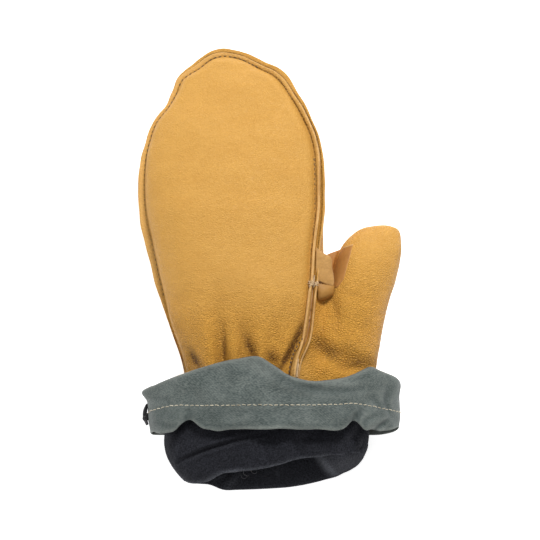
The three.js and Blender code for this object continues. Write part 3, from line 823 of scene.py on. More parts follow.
@dataclass(frozen=True)
class CanvasFinish:
    """Waxed canvas: a tight weave under wax, lighter where it has been bent or scuffed, with painted shade in
    its dents and creases and painted light under the hem.
    """

    name: str = "waxed_canvas"
    colour: tuple[float, float, float] = (0.120, 0.144, 0.131)
    # The pale is for scuffed, bent canvas and for painted light; the dark is for its uneven tone and for
    # painted shade.
    pale: tuple[float, float, float] = (0.212, 0.230, 0.208)
    dark: tuple[float, float, float] = (0.034, 0.048, 0.046)

    def make(self, weave: bpy.types.NodeTree, patches: bpy.types.NodeTree) -> bpy.types.Material:
        """Builds the material.

        Args:
            weave: The shared weave group.
            patches: The shared group of patches.

        Returns:
            The material.
        """
        made, graph, shader = new_material(self.name)
        place = graph.place()
        cloth = graph.add("UVMap", uv_map=Layer.CLOTH.value).outputs[0]
        threads = graph.group(weave, Vector=cloth, Threads=1500.0)[0]
        tone = graph.group(patches, Vector=place, Scale=70.0)[0]
        scuff = graph.group(patches, Vector=place, Scale=520.0)[0]
        slub = graph.add("Mapping", {"Vector": place, "Scale": (0.36, 1.1, 1.0)}).outputs[0]
        speck = graph.noise(slub, 1500.0, 3.0)
        fine = graph.span(speck, 0.40, 0.60, 0.0, 0.75)
        mixed = graph.math("ADD", graph.span(tone, 0.36, 0.64, 0.0, 0.25), fine)
        colour = graph.blend(mixed, (*self.colour, 1), (*self.dark, 1))
        rubbing_and_painted_light = graph.times(graph.span(scuff, 0.47, 0.62), graph.span(tone, 0.36, 0.56, 0.5, 0.12))
        # Lighter where the cuff is scuffed and bent, and where painted light is laid under the hem.
        wear_and_painted_light_tone = graph.times(graph.painted(Layer.EDGE), graph.span(scuff, 0.36, 0.56, 0.35, 1.0))
        rubbing_and_painted_light = graph.math("MAXIMUM", rubbing_and_painted_light, wear_and_painted_light_tone)
        colour = graph.blend(rubbing_and_painted_light, colour, (*self.pale, 1))
        # Painted shade.
        sunk = graph.times(graph.painted(Layer.HOLLOW), 0.75)
        colour = graph.blend(sunk, colour, (*self.dark, 1))
        normal = graph.bump(graph.noise(place, 90.0, 4.0), 0.35, 0.0012)
        normal = graph.bump(threads, 0.55, 0.0003, normal)
        normal = graph.bump(speck, 0.5, 0.0004, normal)
        rough = graph.span(tone, 0.38, 0.62, 0.66, 0.8)
        graph.fill(shader, {"Base Color": colour, "Normal": normal, "Roughness": rough, "Sheen Weight": 0.12})
        return made


@dataclass(frozen=True)
class WoolFinish:
    """Fulled navy wool with a short nap."""

    name: str = "navy_wool"
    colour: tuple[float, float, float] = (0.0060, 0.0062, 0.0088)
    pale: tuple[float, float, float] = (0.0275, 0.0288, 0.0365)
    # The lighter colour of the painted highlight along the rim and of the painted light on the inner walls.
    rim: tuple[float, float, float] = (0.095, 0.100, 0.115)

    def make(self, patches: bpy.types.NodeTree) -> bpy.types.Material:
        """Builds the material.

        Args:
            patches: The shared group of patches.

        Returns:
            The material.
        """
        made, graph, shader = new_material(self.name)
        place = graph.place()
        tone = graph.group(patches, Vector=place, Scale=160.0)[0]
        nap = graph.noise(place, 1050.0, 4.0)
        mask = graph.times(graph.span(nap, 0.36, 0.66), graph.span(tone, 0.36, 0.58, 0.55, 1.0))
        colour = graph.blend(mask, (*self.colour, 1), (*self.pale, 1))
        # Painted highlight and painted light, in the rim colour.
        rubbing_and_painted_light = graph.times(graph.painted(Layer.EDGE), graph.span(nap, 0.34, 0.6, 0.45, 1.0))
        colour = graph.blend(rubbing_and_painted_light, colour, (*self.rim, 1))
        normal = graph.bump(tone, 0.6, 0.0012)
        normal = graph.bump(nap, 0.9, 0.0009, normal)
        graph.fill(shader, {
            "Base Color": colour, "Normal": normal, "Roughness": 0.95, "Specular IOR Level": 0.2,
            "Sheen Weight": 0.06, "Sheen Roughness": 0.5, "Sheen Tint": (0.6, 0.62, 0.7, 1.0),
        })
        return made


@dataclass(frozen=True)
class FloorFinish:
    """A plain pale floor that glows a little, as a lit table does."""

    name: str = "pale_floor"
    glow: float = 0.80

    def make(self) -> bpy.types.Material:
        """Builds the material and returns it."""
        made, graph, shader = new_material(self.name)
        graph.fill(shader, {"Base Color": (0.9, 0.9, 0.9, 1.0), "Roughness": 0.9,
                            "Emission Color": (1.0, 1.0, 1.0, 1.0), "Emission Strength": self.glow})
        return made


class Finishes:
    """All the mitten's materials, built once."""

    def __init__(self) -> None:
        """Builds the groups and the materials."""
        grain, patches, weave = grain_group(), mottle_group(), weave_group()

        def nap(*values: object) -> bpy.types.Material:
            """Builds one dry fibrous surface."""
            return NapFinish(*values).make(patches)

        self.back = HideFinish("yellow_hide_back", stitched=True).make(grain, patches)
        self.hide = HideFinish("yellow_hide", cell=780.0).make(grain, patches)
        # A darker copy of the leather for the thumb's inner side, standing in for the shade on it.
        self.inner = nap("shaded_inner_hide", (0.35, 0.148, 0.030), (0.43, 0.19, 0.042), 420.0, 0.0004, 0.66,
                         0.0)
        # A darker copy of the leather for the crotch flap, standing in for its shade.
        self.flap = nap("shaded_folded_hide", (0.42, 0.205, 0.040), (0.34, 0.160, 0.031), 520.0, 0.0004, 0.6, 0.0)
        self.cut = nap("cut_hide_edge", (0.64, 0.375, 0.135), (0.44, 0.225, 0.066), 420.0, 0.0006)
        self.suede = nap("flesh_side", (0.54, 0.295, 0.090), (0.43, 0.225, 0.062), 700.0, 0.0006, 0.92, 0.2)
        self.brown_thread = nap("brown_thread", (0.11, 0.07, 0.04), (0.06, 0.038, 0.023), 2500.0)
        self.cream_thread = nap("cream_thread", (0.74, 0.54, 0.32), (0.56, 0.38, 0.20), 2500.0)
        self.pale_thread = nap("pale_thread", (0.72, 0.65, 0.50), (0.36, 0.31, 0.22), 2200.0)
        self.grey_fibre = nap("grey_fibre", (0.16, 0.16, 0.17), (0.1, 0.1, 0.11), 2500.0)
        self.canvas = CanvasFinish().make(weave, patches)
        self.wool = WoolFinish().make(patches)
        self.elastic = nap("black_elastic", (0.011, 0.011, 0.012), (0.02, 0.02, 0.021), 2200.0, 0.0003, 0.7,
                           0.1)
        self.floor = FloorFinish().make()


@dataclass(frozen=True)
class Gather:
    """One groove of the gathered wrist, that runs up the back from the cuff and widens."""

    near: float
    far: float
    reach: float
    breadth: float
    depth: float


@dataclass
class HandForm:
    """The hand part's outside, as sections across it. All sizes are millimetres."""

    length: float = 236.6
    upper: float = 2.4
    lower: float = 3.2
    under: float = 4.7
    lift_start: float = 17.0
    lift_end: float = 52.0
    gather_start: float = 18.0
    gathers: tuple[Gather, ...] = (
        Gather(-25, -34, 62, 3.6, 5.2), Gather(-4, -10, 98, 2.9, 6.0), Gather(12, 5, 94, 3.4, 6.2),
        Gather(27, 31, 74, 3.2, 5.0), Gather(40, 46, 80, 3.6, 5.4),
    )

    def __post_init__(self) -> None:
        """Reads the sections: left seam, right side, top, waist and right seam along the length."""
        self.sections = Table(
            (0, -27, 61.2, 34.8, 16, 36.6), (15, -28.2, 61.5, 36.6, 16.6, 38.2),
            (22, -29.3, 61.5, 37.6, 16.9, 39.2), (29.8, -31.0, 61.6, 38.6, 17.2, 41.4),
            (37, -33.2, 61.6, 40, 17.5, 45.4), (43.2, -35.5, 61.7, 41.2, 17.9, 48.2),
            (56.6, -40.2, 62, 43.7, 18.3, 50.3), (70, -43.2, 62, 45.6, 18.6, 51.6),
            (83.4, -46.5, 61.9, 46.8, 18.8, 52.2), (96.8, -49.5, 61.7, 47, 18.8, 52.8),
            (110.2, -52.4, 61.3, 47, 18.8, 54.2), (123.6, -55.4, 61.2, 46.8, 18.8, 55.7),
            (137, -57, 61.5, 45, 18.6, 56.2), (150.4, -57.4, 61.4, 43.2, 18.5, 56.1),
            (163.8, -56.6, 60.6, 40.3, 18.3, 55.6), (177.2, -53.9, 58.9, 37.4, 17.8, 53.1),
            (188.4, -50.2, 55, 34.5, 17, 48.8), (199.9, -41.9, 49, 31, 16.4, 43.2),
            (205.6, -38.6, 45.4, 29.2, 15.9, 39.9), (212.4, -35.5, 40.5, 26.9, 15.3, 36.0),
            (218.1, -33.7, 36.4, 24.5, 14.6, 31.9), (223, -28.4, 29, 22.2, 14.1, 26.6),
            (226.6, -22.6, 20.6, 20.3, 13.5, 19.4), (231.9, -16.4, 10.4, 17.4, 12.9, 10.7),
            (235, -12, 3.4, 14.5, 12.3, 3.3), (236.6, -5, -5, 12, 12, -5),
        )

    def lift(self, y: np.ndarray) -> np.ndarray:
        """Returns how high the underside lies, because the wrist lies on the cuff."""
        return self.under * smooth_step(-np.asarray(y, float), -self.lift_end, -self.lift_start)

    def gathered(self, x: np.ndarray, seen: np.ndarray) -> np.ndarray:
        """Returns how far the gathers lower the back, at places as the camera sees them."""
        total = np.zeros(np.shape(x))
        for g in self.gathers:
            t = np.clip((seen - self.gather_start) / (g.reach - self.gather_start), 0, 1)
            centre = g.near + (g.far - g.near) * t
            offset = (x - centre) / (g.breadth * (1 + 1.9 * t))
            swell = 0.3 * np.exp(-((abs(offset) - 1.9) ** 2))
            total += g.depth * (1 - t) ** 1.15 * (np.exp(-offset * offset) - swell)
        return total

    def over(self, x: np.ndarray, y: np.ndarray) -> np.ndarray:
        """Returns the height of the back at each place."""
        left, right, top, waist, _ = self.sections(y)
        return arch_over(x, (left + right) / 2, (right - left) / 2, (top, waist), self.upper)

    def ring(self, y: np.ndarray, angle: np.ndarray) -> np.ndarray:
        """Returns points round the hand, at angles from the thumb's side over the back."""
        left, right, top, waist, _ = self.sections(y)
        rising = np.clip((y / self.length - 0.86) / 0.14, 0, 1)
        base = waist * rising ** 2 - 2 * (1 - rising)
        x, z = oval(angle, (left, right), (top, waist, base), (self.upper, self.lower))
        return np.stack([x, y, np.where(np.sin(angle) > 0, z, np.maximum(z, self.lift(y)))], -1)


@dataclass
class ThumbForm:
    """The thumb's outside, as sections across it. All sizes are millimetres."""

    length: float = 120.5
    lower: float = 3.0
    upper: float = 2.2

    def __post_init__(self) -> None:
        """Reads the sections: centre, half width, top, waist and base along the length."""
        self.sections = Table(
            (-8, 69.6, 22.0, 29.5, 15.2, -2), (12, 70.5, 22.5, 31.5, 15.9, -2),
            (24, 72.2, 22.7, 32.8, 16.3, -2), (43.4, 75.6, 22.8, 35.2, 17, -2),
            (57.8, 78.9, 22.3, 36.6, 17, -2), (69.9, 82, 22.1, 37, 17, -2),
            (79.5, 85.4, 21.9, 36.6, 16.9, -2), (90.4, 88.7, 22, 35.2, 16.7, -1.6),
            (98.2, 90.6, 21.8, 33.4, 16.6, 0.5), (104.8, 92.5, 20.6, 31.2, 16.5, 2.6),
            (110.3, 94.5, 18.4, 28.4, 16.3, 4.8), (114.8, 96.7, 15.6, 25.5, 16.2, 7),
            (118.4, 98.8, 11.4, 22.2, 16.0, 10), (121.2, 101.4, 0, 15.9, 15.9, 15.9),
        )

    def over(self, x: np.ndarray, y: np.ndarray) -> np.ndarray:
        """Returns the height of the thumb's top at each place."""
        centre, half, top, waist, _ = self.sections(y)
        return arch_over(x, centre, half, (top, waist), self.upper)

    def ring(self, y: np.ndarray, angle: np.ndarray) -> np.ndarray:
        """Returns points round the thumb, at angles from its outer side over the top."""
        centre, half, top, waist, base = self.sections(y)
        x, z = oval(angle, (centre - half, centre + half), (top, waist, base), (self.upper, self.lower))
        return np.stack([x, y, np.where(np.sin(angle) > 0, z, np.maximum(z, HandForm().lift(y)))], -1)


class SeamPath:
    """The line of stitches from the left of the wrist round the fingertips to the right of the wrist."""

    def __init__(self, form: HandForm) -> None:
        """Samples the line closely.

        Args:
            form: The hand that it runs on.
        """
        rise = np.sin(np.linspace(0, math.pi / 2, 700)) * (form.length + 2) - 2
        left, _, _, waist, right = form.sections(rise)
        up = np.stack([left, rise, waist], -1)
        down = np.stack([right, rise, form.over(right, rise)], -1)[::-1]
        line = np.concatenate([up[:-1], down])
        steps = np.linalg.norm(np.diff(line, axis=0), axis=1)
        length = np.concatenate([[0], np.cumsum(steps)])
        self.at = np.linspace(0, length[-1], 2400)
        self.points = averaged(between(self.at, length, line), 6)
        way = averaged(np.gradient(self.points[:, :2], axis=0), 30)
        self.way = unit(np.column_stack([way, np.zeros(len(way))]))
        self.out = np.stack([-self.way[:, 1], self.way[:, 0], self.way[:, 2]], -1)
        self.tip = float(self.at[np.argmax(self.points[:, 1])])

    def read(self, values: np.ndarray, at: np.ndarray) -> np.ndarray:
        """Returns rows of values at lengths along the line."""
        return between(at, self.at, values)

    def nearest(self, points: np.ndarray) -> tuple[np.ndarray, np.ndarray]:
        """Finds the closest place on the line.

        Args:
            points: Points in design millimetres.

        Returns:
            The length along the line, and the distance from it.
        """
        batch = 4000
        best, where = np.empty(len(points)), np.empty(len(points))
        for start in range(0, len(points), batch):
            part = slice(start, start + batch)
            gap = np.linalg.norm(points[part, None] - self.points[None, ::3], axis=2)
            best[part], where[part] = gap.min(1), self.at[::3][gap.argmin(1)]
        return where, best


@dataclass
class SeamLips:
    """The two raw edges that stand out from the seam: how long they are and how they lean."""

    thickness: float = 1.7
    wave: float = 0.14

    def __post_init__(self) -> None:
        """Reads the edges along the seam: the back's length and lean, the palm's length and lean."""
        self.table = Table(
            (0, 0.6, -5, 0.6, -8), (42, 0.6, -5, 0.6, -8), (58, 1.5, -8, 1.4, -12), (73, 3.3, -10, 3.2, -14),
            (98, 5.1, -12, 5.3, -16), (126, 5.3, -10, 5.7, -14), (152, 4.7, -4, 5.1, -8),
            (168, 3.9, 0, 4.2, -5), (180, 3.1, 4, 3.4, -1), (200, 2.7, 8, 2.9, 2), (222, 3.3, 10, 3.9, 3),
            (245, 3.5, 12, 5.7, 4), (262, 3.0, 16, 5.9, 6), (280, 2.8, 18, 5.9, 7), (300, 2.8, 22, 5.9, 9),
            (320, 2.8, 28, 5.3, 13), (340, 2.8, 38, 4.0, 20), (360, 2.9, 50, 4.0, 25),
            (378, 3.1, 62, 4.5, 30), (430, 3.4, 78, 4.5, 42), (448, 3.5, 84, 4.2, 54),
            (456, 3.6, 106, 3.8, 70), (466, 4.0, 114, 4.0, 76), (480, 4.2, 112, 4.2, 72),
            (488, 4.2, 92, 4.4, 60), (498, 4.4, 60, 4.9, 44), (512, 4.4, 50, 5.0, 38),
            (530, 4.0, 46, 4.6, 36),
        )
        self.length_noise = Ripples(11, 19)
        self.lean_noise = Ripples(12, 26)

    def frame(self, path: SeamPath, at: np.ndarray) -> tuple[np.ndarray, ...]:
        """Works out how both edges stand.

        Args:
            path: The seam.
            at: Lengths along it.

        Returns:
            The root, the back edge's reach as a vector, the palm edge's root and its reach.
        """
        back_long, back_lean, palm_long, palm_lean = self.table(at * SEAM_ROWS / path.at[-1])
        root, out = path.read(path.points, at), path.read(path.out, at)
        sway = self.lean_noise(root) * 3.5
        longer = 1 + self.wave * 0.3 * self.length_noise(root)

        def reach(length: np.ndarray, lean: np.ndarray) -> np.ndarray:
            """Returns the way out and up at a lean, as long as the edge."""
            angle = np.radians(lean)[:, None]
            return (out * np.cos(angle) + UP * np.sin(angle)) * (length * longer)[:, None]

        middle = np.radians((back_lean + palm_lean) / 2)[:, None]
        below = (out * np.sin(middle) - UP * np.cos(middle)) * (self.thickness + 0.3)
        back, palm = reach(back_long, back_lean + sway), reach(palm_long, palm_lean + sway * 0.7)
        return root, back, root + below, palm


@dataclass
class BackPanel:
    """The leather over the back of the hand, with its half of the outward seam."""

    form: HandForm
    path: SeamPath
    lips: SeamLips
    columns: int = 72
    rows: int = 104
    left_corner: float = 188.0
    right_corner: float = 186.0
    dents: tuple = (
        Dent(-30, 64, 16, 22, 0.8, 20), Dent(24, 100, 26, 16, 0.5, -20), Dent(-20, 150, 30, 22, 0.6, 10),
        Dent(30, 168, 18, 20, 0.5), Dent(-41, 106, 5, 30, 0.9, 4), Dent(8, 200, 22, 12, 0.5),
    )
    # Dimples at the gathered wrist, pressed in and painted with shade.
    hollows: tuple = (
        Dent(-21.6, 31.5, 7.5, 2.0, 4.0, 124), Dent(-25, 36, 4.5, 2.6, 1.5, 110),
        Dent(-4.0, 42.5, 12, 0.9, 3.0, 92), Dent(-6.5, 47, 17, 3.4, 0.7, 96),
        Dent(11.5, 45.5, 10, 2.4, 2.6, 112), Dent(15, 38.5, 5, 2.4, 2.2, 120),
        Dent(27.5, 36, 4.5, 2.4, 3.2, 150), Dent(25, 33, 5, 3, 1.0, 120), Dent(39.5, 41.5, 14, 2.0, 4.6, 62),
        Dent(35, 32, 8, 2.6, 2.2, 60), Dent(45, 53, 7, 1.8, 2.0, 72), Dent(2, 36, 4, 3, 0.8, 90),
    )
    creases: tuple = (
        Crease(((-46, 92), (-36, 88), (-28, 90)), 0.35, 1.5),
        Crease(((-44, 78), (-36, 73), (-29, 74)), 0.4, 1.6),
        Crease(((-24, 62), (-14, 54), (-9, 42)), 0.3, 1.8), Crease(((20, 66), (26, 54), (26, 42)), 0.3, 1.8),
        Crease(((34, 74), (41, 60), (43, 46)), 0.3, 2.0),
    )

    def plan(self, u: np.ndarray, v: np.ndarray) -> tuple[np.ndarray, np.ndarray]:
        """Spreads the grid over the panel's plan.

        Args:
            u: Shares across, from the left seam to the right one.
            v: Shares along, from the wrist to the fingertips.

        Returns:
            Places across and along, in millimetres.
        """
        sections = self.form.sections
        v = 0.25 * v + 0.75 * np.sin(v * math.pi / 2)
        y = v * (self.left_corner + self.right_corner) / 2
        left, right, _, _, seam = sections(y)
        half, middle = (right - left) / 2, (left + right) / 2
        last = np.arccos(np.clip((seam - middle) / half, 0, 1) ** (self.form.upper / 2))
        angle = math.pi - u * (math.pi - last)
        c = np.cos(angle)
        x = middle + half * np.sign(c) * np.abs(c) ** (2 / self.form.upper)
        across = np.clip((x - left) / (seam - left), 0, 1)
        start = np.interp(self.left_corner, self.path.points[:1200, 1], self.path.at[:1200])
        falling = self.path.points[::-1][:1200]
        end = np.interp(self.right_corner, falling[:, 1], self.path.at[::-1][:1200])
        tip = self.path.read(self.path.points, start + u * (end - start))
        low, high = self.side(0, v), self.side(1, v)
        wrist_left, wrist_right = self.side(0, np.zeros(1)), self.side(1, np.zeros(1))
        corner_left, corner_right = self.side(0, np.ones(1)), self.side(1, np.ones(1))
        a, t = across[:, None], v[:, None]
        wrist = wrist_left * (1 - a) + wrist_right * a
        corners = (1 - t) * wrist + t * (corner_left * (1 - a) + corner_right * a)
        flat = (1 - t) * wrist + t * tip[:, :2] + (1 - a) * low + a * high - corners
        return flat[:, 0], flat[:, 1]

    def side(self, which: int, v: np.ndarray) -> np.ndarray:
        """Returns the left or right seam's places at shares of the side."""
        y = v * (self.left_corner, self.right_corner)[which]
        return np.stack([self.form.sections(y)[0 if which == 0 else 4], y], -1)

    def shape(self, points: np.ndarray) -> tuple[np.ndarray, np.ndarray]:
        """Presses the seam's valley, the gathers, dents and creases into the panel.

        Args:
            points: The panel's plain places.

        Returns:
            The new places, and how much painted shade each gets.
        """
        _, gap = self.path.nearest(points)
        free = smooth_step(gap, 0.2, 9.0)
        seen = seen_at(points)
        deep = self.form.gathered(points[:, 0], seen) * smooth_step(gap, 0.0, 4.0)
        soft = pressed(self.dents + self.creases, points)
        dark = pressed(self.hollows, points)
        beside = 0.9 * np.exp(-((gap - 6.5) / 4.0) ** 2)
        valley = 1.1 * np.exp(-(gap / 2.0) ** 2) * smooth_step(gap, 0.0, 0.8) - beside
        lump = 0.25 * Ripples(3, 38)(points) + 0.05 * Ripples(4, 12)(points)
        moved = points.copy()
        moved[:, 2] -= deep + 0.45 * dark * smooth_step(gap, 0.0, 2.5) + soft * free + valley - lump * free
        # Painted shade in the gathers near the cuff and in the dimples, made a little uneven.
        near_cuff = smooth_step(-seen, -58, -24)
        painted_shade_unevenness = 0.9 + 0.12 * Ripples(41, 7)(points)
        hollow = np.clip(deep / 5.0, 0, 1) ** 1.2 * (0.04 + 0.16 * near_cuff) + 0.02 * near_cuff ** 1.5
        return moved, np.clip(hollow + 0.20 * dark * painted_shade_unevenness, 0, 0.85)

    def build(self, bench: Bench) -> bpy.types.Object:
        """Makes the panel.

        Args:
            bench: The bench.

        Returns:
            The panel.
        """
        def place(u: np.ndarray, v: np.ndarray) -> np.ndarray:
            """Returns the panel's places before its edge is added."""
            x, y = self.plan(u, v)
            return np.stack([x, y, self.form.over(x, y)], -1)

        made = bench.sheet("back_panel_hide", self.columns, self.rows, place, (115, 236))
        mesh = made.data
        points, hollow = self.shape(bench.places(mesh))
        bench.move(mesh, points)
        bench.turn_up(made.data)
        plain = len(points)
        self.add_edge(bench, mesh)
        points = bench.places(mesh)
        at, gap = self.path.nearest(points)
        hollow = np.pad(hollow, (0, len(points) - plain))
        near_wrist = smooth_step(-seen_at(points), -95, -38)
        # Painted shade along the seam's valley, which together with the dark stitch holes makes the seam's
        # dark line.
        sewn = np.exp(-(gap / 0.6) ** 2) * (0.5 + 0.3 * smooth_step(at, 225, 260))
        bench.paint(mesh, Layer.HOLLOW, hollow + sewn * smooth_step(at, 60, 100))
        # Painted light on the faces of the raw edge, stronger on the right, where the edge leans away from
        # the light.
        lip = (np.arange(len(points)) >= plain) * smooth_step(gap, 0.5, 1.6)
        bench.paint(mesh, Layer.EDGE, lip * (0.28 + 0.27 * smooth_step(at, 330, 420)))
        bench.paint(mesh, Layer.COARSE, 0.12 + 0.85 * near_wrist)
        bench.map_uv(mesh, Layer.SEAM, np.stack([at, gap], -1) * MM)
        bench.thicken(made, self.lips.thickness, edge=1)
        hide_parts("back_panel")
        return bench.dress(made, Slot.LEATHER, bench.finishes.back, bench.finishes.cut)

    def add_edge(self, bench: Bench, mesh: bpy.types.Mesh) -> None:
        """Draws the raw edge out from the panel's border, except at the wrist."""
        wrist = bench.metres(np.array([0, 0.4, 0]))[1]
        with opened(mesh) as bm:
            border = [e for e in bm.edges if e.is_boundary and max(v.co.y for v in e.verts) > wrist]
            roots = list({v for e in border for v in e.verts})
            spots = bench.millimetres(np.array([v.co[:] for v in roots]))
            _, reach, _, _ = self.lips.frame(self.path, self.path.nearest(spots)[0])
            owner = {v: (v.co.copy(), Vector(r * MM)) for v, r in zip(roots, reach)}
            for share in (0.22, 0.5, 0.78, 1.0):
                grown = bmesh.ops.extrude_edge_only(bm, edges=border)["geom"]
                fresh = {g for g in grown if isinstance(g, bmesh.types.BMVert)}
                border = [g for g in grown if isinstance(g, bmesh.types.BMEdge) and fresh.issuperset(g.verts)]
                found = {}
                for vertex in fresh:
                    near = [e.other_vert(vertex) for e in vertex.link_edges]
                    found[vertex] = next(owner[v] for v in near if v in owner)
                    base, way = found[vertex]
                    vertex.co = base + way * share
                owner = found
            bmesh.ops.recalc_face_normals(bm, faces=bm.faces)
        bench.turn_up(mesh)
        bench.shade(mesh)


@dataclass
class PalmSkin:
    """The leather that wraps under the hand and round the thumb, with its half of the seam."""

    form: HandForm
    thumb: ThumbForm
    path: SeamPath
    lips: SeamLips
    voxel: float = 1.35
    # How far the hulls start before the wrist, and how near the seam a border is drawn to it
    below: float = 6.0
    reach: float = 7.0
    dents: tuple = (
        Dent(66, 66, 4.6, 15, 1.7, 8), Dent(74, 32.5, 24, 6.0, 3.8, -24), Dent(82, 44.5, 15, 6.0, -1.8, -18),
        Dent(104, 70, 6, 12, 1.4), Dent(88, 98, 12, 10, -0.6, 20), Dent(84, 24, 17, 5, -1.0, -8),
        Dent(60, 60, 5, 16, -0.9), Dent(84, 66, 12, 8, -0.8), Dent(57, 40, 5, 12, 0.8, -30),
    )
    creases: tuple = (
        Crease(((66, 76), (68, 68), (70, 60), (70, 54)), 0.5, 2.2),
        Crease(((72, 80), (80, 76), (90, 75)), 0.22, 1.9), Crease(((73, 60), (84, 55), (98, 53)), 0.3, 2.2),
        Crease(((58, 48), (66, 42), (78, 36), (92, 32)), 0.35, 2.6),
        Crease(((60, 56), (70, 50), (84, 48)), 0.28, 2.2), Crease(((56, 34), (66, 30), (82, 26)), 0.35, 2.2),
        Crease(((103, 66), (97, 63), (92, 64)), 0.4, 1.8),
        Crease(((80.4, 110), (82.2, 112), (83.6, 114)), 0.5, 0.8),
    )
    # Places that get only painted shade: the band above the cuff, the side by the seam and the place under
    # the inner side.
    band: tuple = (Dent(64, 39.5, 12, 3.6, 1.0, -42), Dent(83, 31.5, 13, 3.8, 1.0, 4))
    seam_side: Dent = Dent(55, 40, 6, 17, 1.0, -18)
    shade_under_inner_side: Dent = Dent(70, 78, 9, 20, 1.0, 8)

    def body(self, bench: Bench) -> bpy.types.Object:
        """Joins the hand and the thumb into one closed skin."""
        def hand(u: np.ndarray, v: np.ndarray) -> np.ndarray:
            """Returns places round the hand, close together at its tip."""
            y = np.sin(v * math.pi / 2) * (self.form.length + self.below) - self.below
            return self.form.ring(y, u * 2 * math.pi)

        def thumb(u: np.ndarray, v: np.ndarray) -> np.ndarray:
            """Returns places round the thumb, close together at its tip."""
            y = np.sin(v * math.pi / 2) * (self.thumb.length + self.below) - self.below
            return self.thumb.ring(y, u * 2 * math.pi)

        hull = bench.sheet("palm_hide", 110, 120, hand, (300, 240), closed=True)
        part = bench.sheet("thumb_hull", 72, 70, thumb, (130, 120), closed=True)
        for piece in (hull, part):
            with opened(piece.data) as bm:
                bmesh.ops.holes_fill(bm, edges=bm.edges, sides=0)
        with opened(hull.data) as both:
            both.from_mesh(part.data)
            bmesh.ops.recalc_face_normals(both, faces=both.faces)
        bpy.data.objects.remove(part)
        remesh = hull.modifiers.new("skin", "REMESH")
        remesh.mode = "VOXEL"
        remesh.voxel_size = self.voxel * MM
        bench.applied(hull)
        return hull

    def soften(self, bench: Bench, mesh: bpy.types.Mesh) -> None:
        """Smooths the fold between hand and thumb, and opens the wrist."""
        wrist, low, high = bench.metres(np.array([(0, 0.5, 0), (44, 2, 0), (75, 98, 0)]))
        with opened(mesh) as bm:
            bmesh.ops.bisect_plane(bm, geom=bm.verts[:] + bm.edges[:] + bm.faces[:], plane_co=Vector(wrist),
                                   plane_no=Vector((0, 1, 0)), clear_inner=True)
            fold = [v for v in bm.verts if low[0] < v.co.x < high[0] and low[1] < v.co.y < high[1]]
            for part in [fold] * 14 + [bm.verts] * 2:
                bmesh.ops.smooth_vert(bm, verts=part, factor=0.5, use_axis_x=True, use_axis_y=True,
                                      use_axis_z=True)

    def open_back(self, bench: Bench, mesh: bpy.types.Mesh) -> None:
        """Takes away what lies under the back panel, and draws the border to the seam."""
        points = bench.places(mesh)
        _, _, _, waist, seam = self.form.sections(points[:, 1])
        gone = (points[:, 2] > waist + 0.2) & (points[:, 0] < seam) & (points[:, 1] < self.form.length)
        wrist = bench.metres(np.array([0, 1.2, 0]))[1]
        with opened(mesh) as bm:
            bm.verts.ensure_lookup_table()
            bmesh.ops.delete(bm, geom=[bm.verts[i] for i in np.flatnonzero(gone)], context="VERTS")
            bmesh.ops.delete(bm, geom=[v for v in bm.verts if not v.link_faces], context="VERTS")
            border = [v for v in bm.verts if v.is_boundary and v.co.y > wrist]
            at, gap = self.path.nearest(bench.millimetres(np.array([v.co[:] for v in border])))
            _, _, root, _ = self.lips.frame(self.path, at)
            for vertex, place, far in zip(border, bench.metres(root), gap):
                if far < self.reach:
                    vertex.co = Vector(place)

    def press(self, bench: Bench, mesh: bpy.types.Mesh) -> None:
        """Presses dents and creases into the upper side, and paints its coarse grain and its painted shade.
        """
        points = bench.places(mesh)
        normals = bench.vectors(mesh, "normal")
        _, gap = self.path.nearest(points)
        facing = smooth_step(normals[:, 2], -0.1, 0.35) * smooth_step(gap, 0.5, 6.0)
        dents = pressed(self.dents, points) * facing
        lines = pressed(self.creases, points) * facing
        below = smooth_step(-normals[:, 2], 0.2, 0.8) * smooth_step(points[:, 2], 0.0, 2.0)
        lump = 0.28 * Ripples(7, 34)(points) + 0.05 * Ripples(8, 12)(points)
        sunk = 0.6 * np.maximum(Ripples(9, 46)(points), 0) * smooth_step(-normals[:, 2], 0.5, 0.9)
        moved = points - UP * dents[:, None]
        moved += normals * ((lump * smooth_step(gap, 0.5, 8.0) * (1 - below)) - lines - sunk)[:, None]
        moved[:, 2] = np.maximum(moved[:, 2], 0.15)
        bench.move(mesh, moved)
        near = smooth_step(points[:, 0], 40, 60) * smooth_step(-seen_at(points), -112, -52)
        bench.paint(mesh, Layer.COARSE, 0.3 + 0.7 * near)
        # Painted shade in the band above the cuff, beside the seam, under the inner side, in the creases and
        # on the thumb's steep right side, made a little uneven.
        band = np.maximum(*(pressed((mark,), points) for mark in self.band))
        rim = smooth_step(normals[:, 0], 0.78, 1.0) * smooth_step(points[:, 0], 70, 90)
        seam_side, shade_under_inner_side = (pressed((mark,), points) for mark in (self.seam_side, self.shade_under_inner_side))
        painted_shade_unevenness = 0.95 + 0.05 * Ripples(42, 8)(points)
        bench.paint(mesh, Layer.HOLLOW, (0.50 * band + 0.09 * seam_side + 0.05 * shade_under_inner_side) * painted_shade_unevenness * facing
                    + np.clip(lines, 0, 1) * 0.14 + 0.2 * rim)

    def build(self, bench: Bench) -> bpy.types.Object:
        """Makes the skin and its edge of the seam.

        Args:
            bench: The bench.

        Returns:
            The skin.
        """
        made = self.body(bench)
        self.soften(bench, made.data)
        self.press(bench, made.data)
        self.open_back(bench, made.data)
        bench.shade(made.data)
        bench.thicken(made, self.lips.thickness, edge=1, levels=0)
        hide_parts("palm_panel", "thumb")
        bench.dress(made, Slot.LEATHER, bench.finishes.hide, bench.finishes.cut)
        self.edge(bench)
        return made

    def edge(self, bench: Bench) -> bpy.types.Object:
        """Makes the palm's raw edge, outside and under the back's."""
        last = self.path.at[-1]

